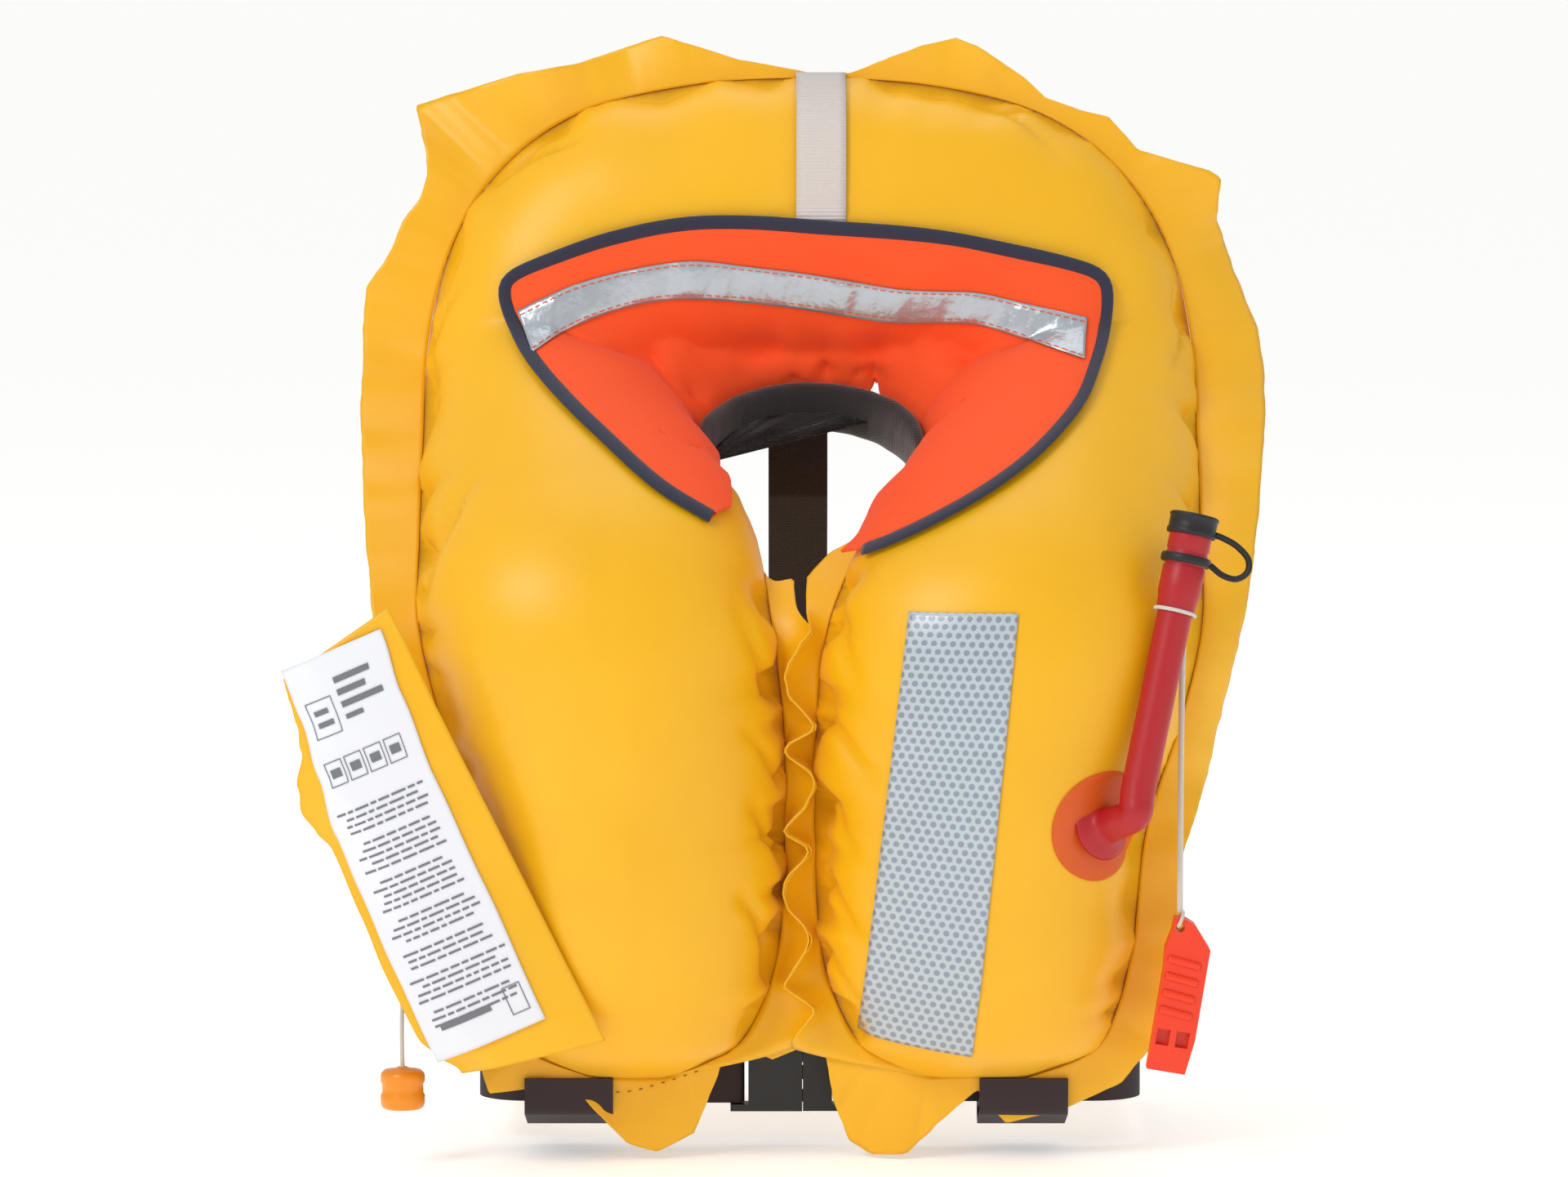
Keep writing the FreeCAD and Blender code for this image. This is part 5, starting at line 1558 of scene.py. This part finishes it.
@dataclass
class LabelFlap:
    """Yellow flap with a white printed label, in a leaning frame of its own."""

    centre: tuple[float, float, float] = (-190.0, -158.0, -207.7)
    lean: float = -26.6
    flap_size: tuple[float, float] = (74.0, 236.0)
    label_size: tuple[float, float] = (56.0, 207.0)
    # edges across the flap, as (height, place across) in the leaning frame, from the foot up
    flap_left: Sequence[tuple[float, float]] = (
        (-118, -30), (-98, -37), (-75, -41), (-42, -41), (-10, -39), (26, -37), (37, -40), (48, -42),
        (60, -38), (76, -28), (88, -24), (100, -22), (112, -21), (120, -20))
    flap_right: Sequence[tuple[float, float]] = ((-118, 41), (-60, 41), (0, 41), (60, 41), (120, 42))
    label_left: Sequence[tuple[float, float]] = (
        (-93, -38), (-42, -36), (0, -34), (30, -32), (60, -26), (88, -21), (114, -19))
    label_right: Sequence[tuple[float, float]] = ((-93, 20), (-20, 23), (36, 25), (80, 29), (114, 34))
    curl: float = 11.0
    label_up: float = 10.5        # mm from the flap's middle to the label's, and off the flap's face
    label_off: float = 1.9

    def _frame(self) -> Matrix:
        """The flap's own frame: x across, y back, z up its length."""
        return Matrix.Translation(point(*self.centre)) @ Matrix.Rotation(math.radians(self.lean), 4, "Y")

    @staticmethod
    def _edge(rows: Sequence[tuple[float, float]], z: float) -> float:
        """Place across of an edge at a height, eased between its rows.

        Args:
            rows: (height, place across) in mm, from the foot up.
            z: height in mm.

        Returns:
            The place across.
        """
        z = min(rows[-1][0], max(rows[0][0], z))
        for (z0, x0), (z1, x1) in zip(rows, rows[1:]):
            if z <= z1:
                return x0 + (x1 - x0) * smooth_step((z - z0) / (z1 - z0))
        return rows[-1][1]

    def _face(self, x: float, z: float) -> float:
        """Depth of the flap's face at a local place, mm: it curls at its left fold and bows slightly.

        Args:
            x: place across in mm.
            z: height in mm.

        Returns:
            The depth in mm.
        """
        left, right = self._edge(self.flap_left, z), self._edge(self.flap_right, z)
        u = (x - left) / (right - left)
        curl = self.curl * (1 - smooth_step(u / 0.3)) * (0.65 + 0.35 * math.sin(z / 24 + 0.8))
        bow = 2.4 * math.sin(math.pi * min(1, max(0, u))) + 1.4 * ripple(71, z / 60 + u * 0.8, 2)
        return curl - bow

    def build(self) -> list[bpy.types.Object]:
        """Flap, label and its generic print.

        Returns:
            The three pieces.
        """
        place_in = self._frame()

        def flap(u: float, w: float) -> Vector:
            """The flap's face, from its folded left edge to its right one."""
            z = -118 + 238 * w
            x = self._edge(self.flap_left, z) * (1 - u) + self._edge(self.flap_right, z) * u
            return place_in @ point(x, self._face(x, z), z + 16 * (1 - u) * smooth_step((0.2 - w) / 0.2)
                                    - 9 * (1 - u) * smooth_step((w - 0.9) / 0.1))

        mesh = surface(flap, 36, 110)
        thicken(mesh, 1.2)
        back = finished(mesh, "flap_sheet", Finishes.YELLOW, "flap", ("label_flap",))

        def on_label(x: float, z: float, off: float) -> Vector:
            """A place on the label, x and z from its middle in mm, held off the flap by off mm."""
            z += self.label_up
            share = x / self.label_size[0] + 0.5
            x = self._edge(self.label_left, z) * (1 - share) + self._edge(self.label_right, z) * share
            return place_in @ point(x, self._face(x, z) - self.label_off - off, z - 3 * share + 1.5)

        def label(u: float, w: float) -> Vector:
            """The label's face."""
            return on_label((u - 0.5) * self.label_size[0], (w - 0.5) * self.label_size[1], 0.4)

        mesh = surface(label, 30, 100)
        thicken(mesh, 0.35)
        face = finished(mesh, "flap_label", Finishes.LABEL, "flap", ("label",))
        ink = self._print(on_label)
        tuple(c * MM for c in self.label_size)
        tuple(c * MM for c in self.flap_size)
        return [back, face, ink]

    def _print(self, on_label: Callable[[float, float, float], Vector]) -> bpy.types.Object:
        """Grey bars and boxes in place of lettering.

        Args:
            on_label: gives a point for a place on the label and a distance off it.

        Returns:
            The piece.
        """
        rng = random.Random(7)
        bars: list[tuple[float, float, float, float]] = []
        half, top = self.label_size[0] / 2, self.label_size[1] / 2

        def box_outline(x: float, z: float, wide: float, high: float) -> None:
            """Four thin bars round a box whose upper left corner is (x, z)."""
            bars.extend([(x, z, wide, 0.5), (x, z - high, wide, 0.5), (x, z - high / 2, 0.5, high),
                         (x + wide - 0.5, z - high / 2, 0.5, high)])

        box_outline(-half + 5, top - 20, 15, 18)
        bars.extend([(-half + 8, top - 26, 8, 2.6), (-half + 8, top - 32, 9, 2.6)])
        for line, (wide, high) in enumerate(((20, 3.0), (16, 3.0), (24, 3.0), (10, 2.4))):
            bars.append((-half + 24, top - 14 - line * 6.2, min(wide, half * 2 - 28), high))
        for icon in range(4):
            box_outline(-half + 5 + icon * 11, top - 50, 9.5, 12)
            bars.append((-half + 7 + icon * 11, top - 56, 5.5, 4.4))
        z = top - 76
        while z > -top + 24:
            for _ in range(rng.randint(3, 5)):
                wide = rng.uniform(0.62, 0.9) * self.label_size[0]
                left = -wide / 2 + 1.0
                while left < wide / 2 - 3:
                    word = rng.uniform(2.5, 8)
                    bars.append((left, z, min(word, wide / 2 - left), 1.1))
                    left += word + 1.2
                z -= 3.5
            z -= 3.2
        bars.append((-half + 9, -top + 16, 26, 3.4))
        box_outline(half - 13, -top + 22, 9, 14)
        parts = []
        for x, z, wide, high in bars:
            parts.append(surface(lambda u, w, x=x, z=z, a=wide, b=high: on_label(
                x + u * a, z + (w - 0.5) * b, 1.2), max(1, int(wide / 3)), max(1, int(high / 3))))
        mesh = merged(parts)
        return finished(mesh, "label_print", Finishes.INK, "flap", smooth=False)


# ------------------------------------------------------------------------------ stage


@dataclass
class Studio:
    """Pale floor, soft light and the camera."""

    distance: float = 4.0
    focal: float = 183.7
    aim: tuple[float, float, float] = (-13.1, -60.0, -81.0)
    rise: float = 5.0
    floor_z: float = -362.0
    floor_half: float = 60.0      # metres
    floor_glow: float = 0.42
    world_light: float = 0.6
    # name, place and size in metres, power in watts
    lights: Sequence[tuple[str, tuple[float, float, float], float, float]] = (
        ("key", (-1.7, -2.2, 1.9), 1.1, 34.0), ("fill", (2.2, -2.2, 0.6), 2.4, 4.0),
        ("top", (0.0, 0.5, 2.4), 1.6, 12.0))

    def build(self) -> None:
        """Camera, lights, world and floor."""
        scene = bpy.context.scene
        scene.view_settings.view_transform = "Standard"
        camera = bpy.data.cameras.new("camera")
        camera.lens = self.focal
        camera.sensor_width = 36
        holder = bpy.data.objects.new("camera", camera)
        angle = math.radians(self.rise)
        aim = point(*self.aim)
        holder.location = aim + Vector((0, -math.cos(angle), math.sin(angle))) * self.distance
        holder.rotation_euler = (math.radians(90 - self.rise), 0, 0)
        scene.collection.objects.link(holder)
        scene.camera = holder
        for name, spot, size, power in self.lights:
            light = bpy.data.lights.new(name, "AREA")
            light.size = size
            light.energy = power
            lamp = bpy.data.objects.new(name, light)
            lamp.location = spot
            lamp.rotation_euler = (aim - Vector(spot)).to_track_quat("-Z", "Y").to_euler()
            scene.collection.objects.link(lamp)
        world = bpy.data.worlds.new("studio")
        world.use_nodes = True
        world.node_tree.nodes["Background"].inputs["Color"].default_value = (1.0, 1.0, 1.0, 1.0)
        world.node_tree.nodes["Background"].inputs["Strength"].default_value = self.world_light
        scene.world = world
        self._floor()

    def _floor(self) -> None:
        """Pale level floor, wide enough that no view meets its edge; it glows a little, as lit paper does."""
        mesh = bmesh.new()
        bmesh.ops.create_grid(mesh, x_segments=8, y_segments=8, size=self.floor_half,
                              matrix=Matrix.Translation(point(0, 0, self.floor_z)))
        paper = Finish("pale_studio_paper", "#f4f4f2", 0.9)
        floor = finished(mesh, "studio_floor", paper, None)
        shader = next(n for n in floor.data.materials[0].node_tree.nodes if n.type == "BSDF_PRINCIPLED")
        shader.inputs["Emission Color"].default_value = (1.0, 1.0, 1.0, 1.0)
        shader.inputs["Emission Strength"].default_value = self.floor_glow


# ------------------------------------------------------------------------------ jacket


@dataclass
class LifeJacket:
    """The whole visual model."""

    chamber: Chamber = field(default_factory=Chamber)

    def build(self) -> None:
        """Build every piece and dress the CAD nodes that stay in view."""
        Cords().build()
        body = self.chamber.build()
        skin = tree_of(body)
        trims = Trims()
        trims.pad()
        flanges = WeldRim(self.chamber).build()
        Cover().build(body)
        trims.film(skin)
        trims.band(self.chamber)
        trims.marks(tree_of(flanges[2]))
        Belt().front_webbing()
        OralTube().build(skin)
        LabelFlap().build()
        for finish, names in CAD_FINISHES.items():
            for name in names:
                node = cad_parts[name]
                node.data.materials.clear()
                node.data.materials.append(finish.material())


def main() -> None:
    """Build the scene."""
    logging.basicConfig(level=logging.INFO, format="%(message)s")
    Studio().build()
    LifeJacket().build()


if __name__ == "__main__":
    main()
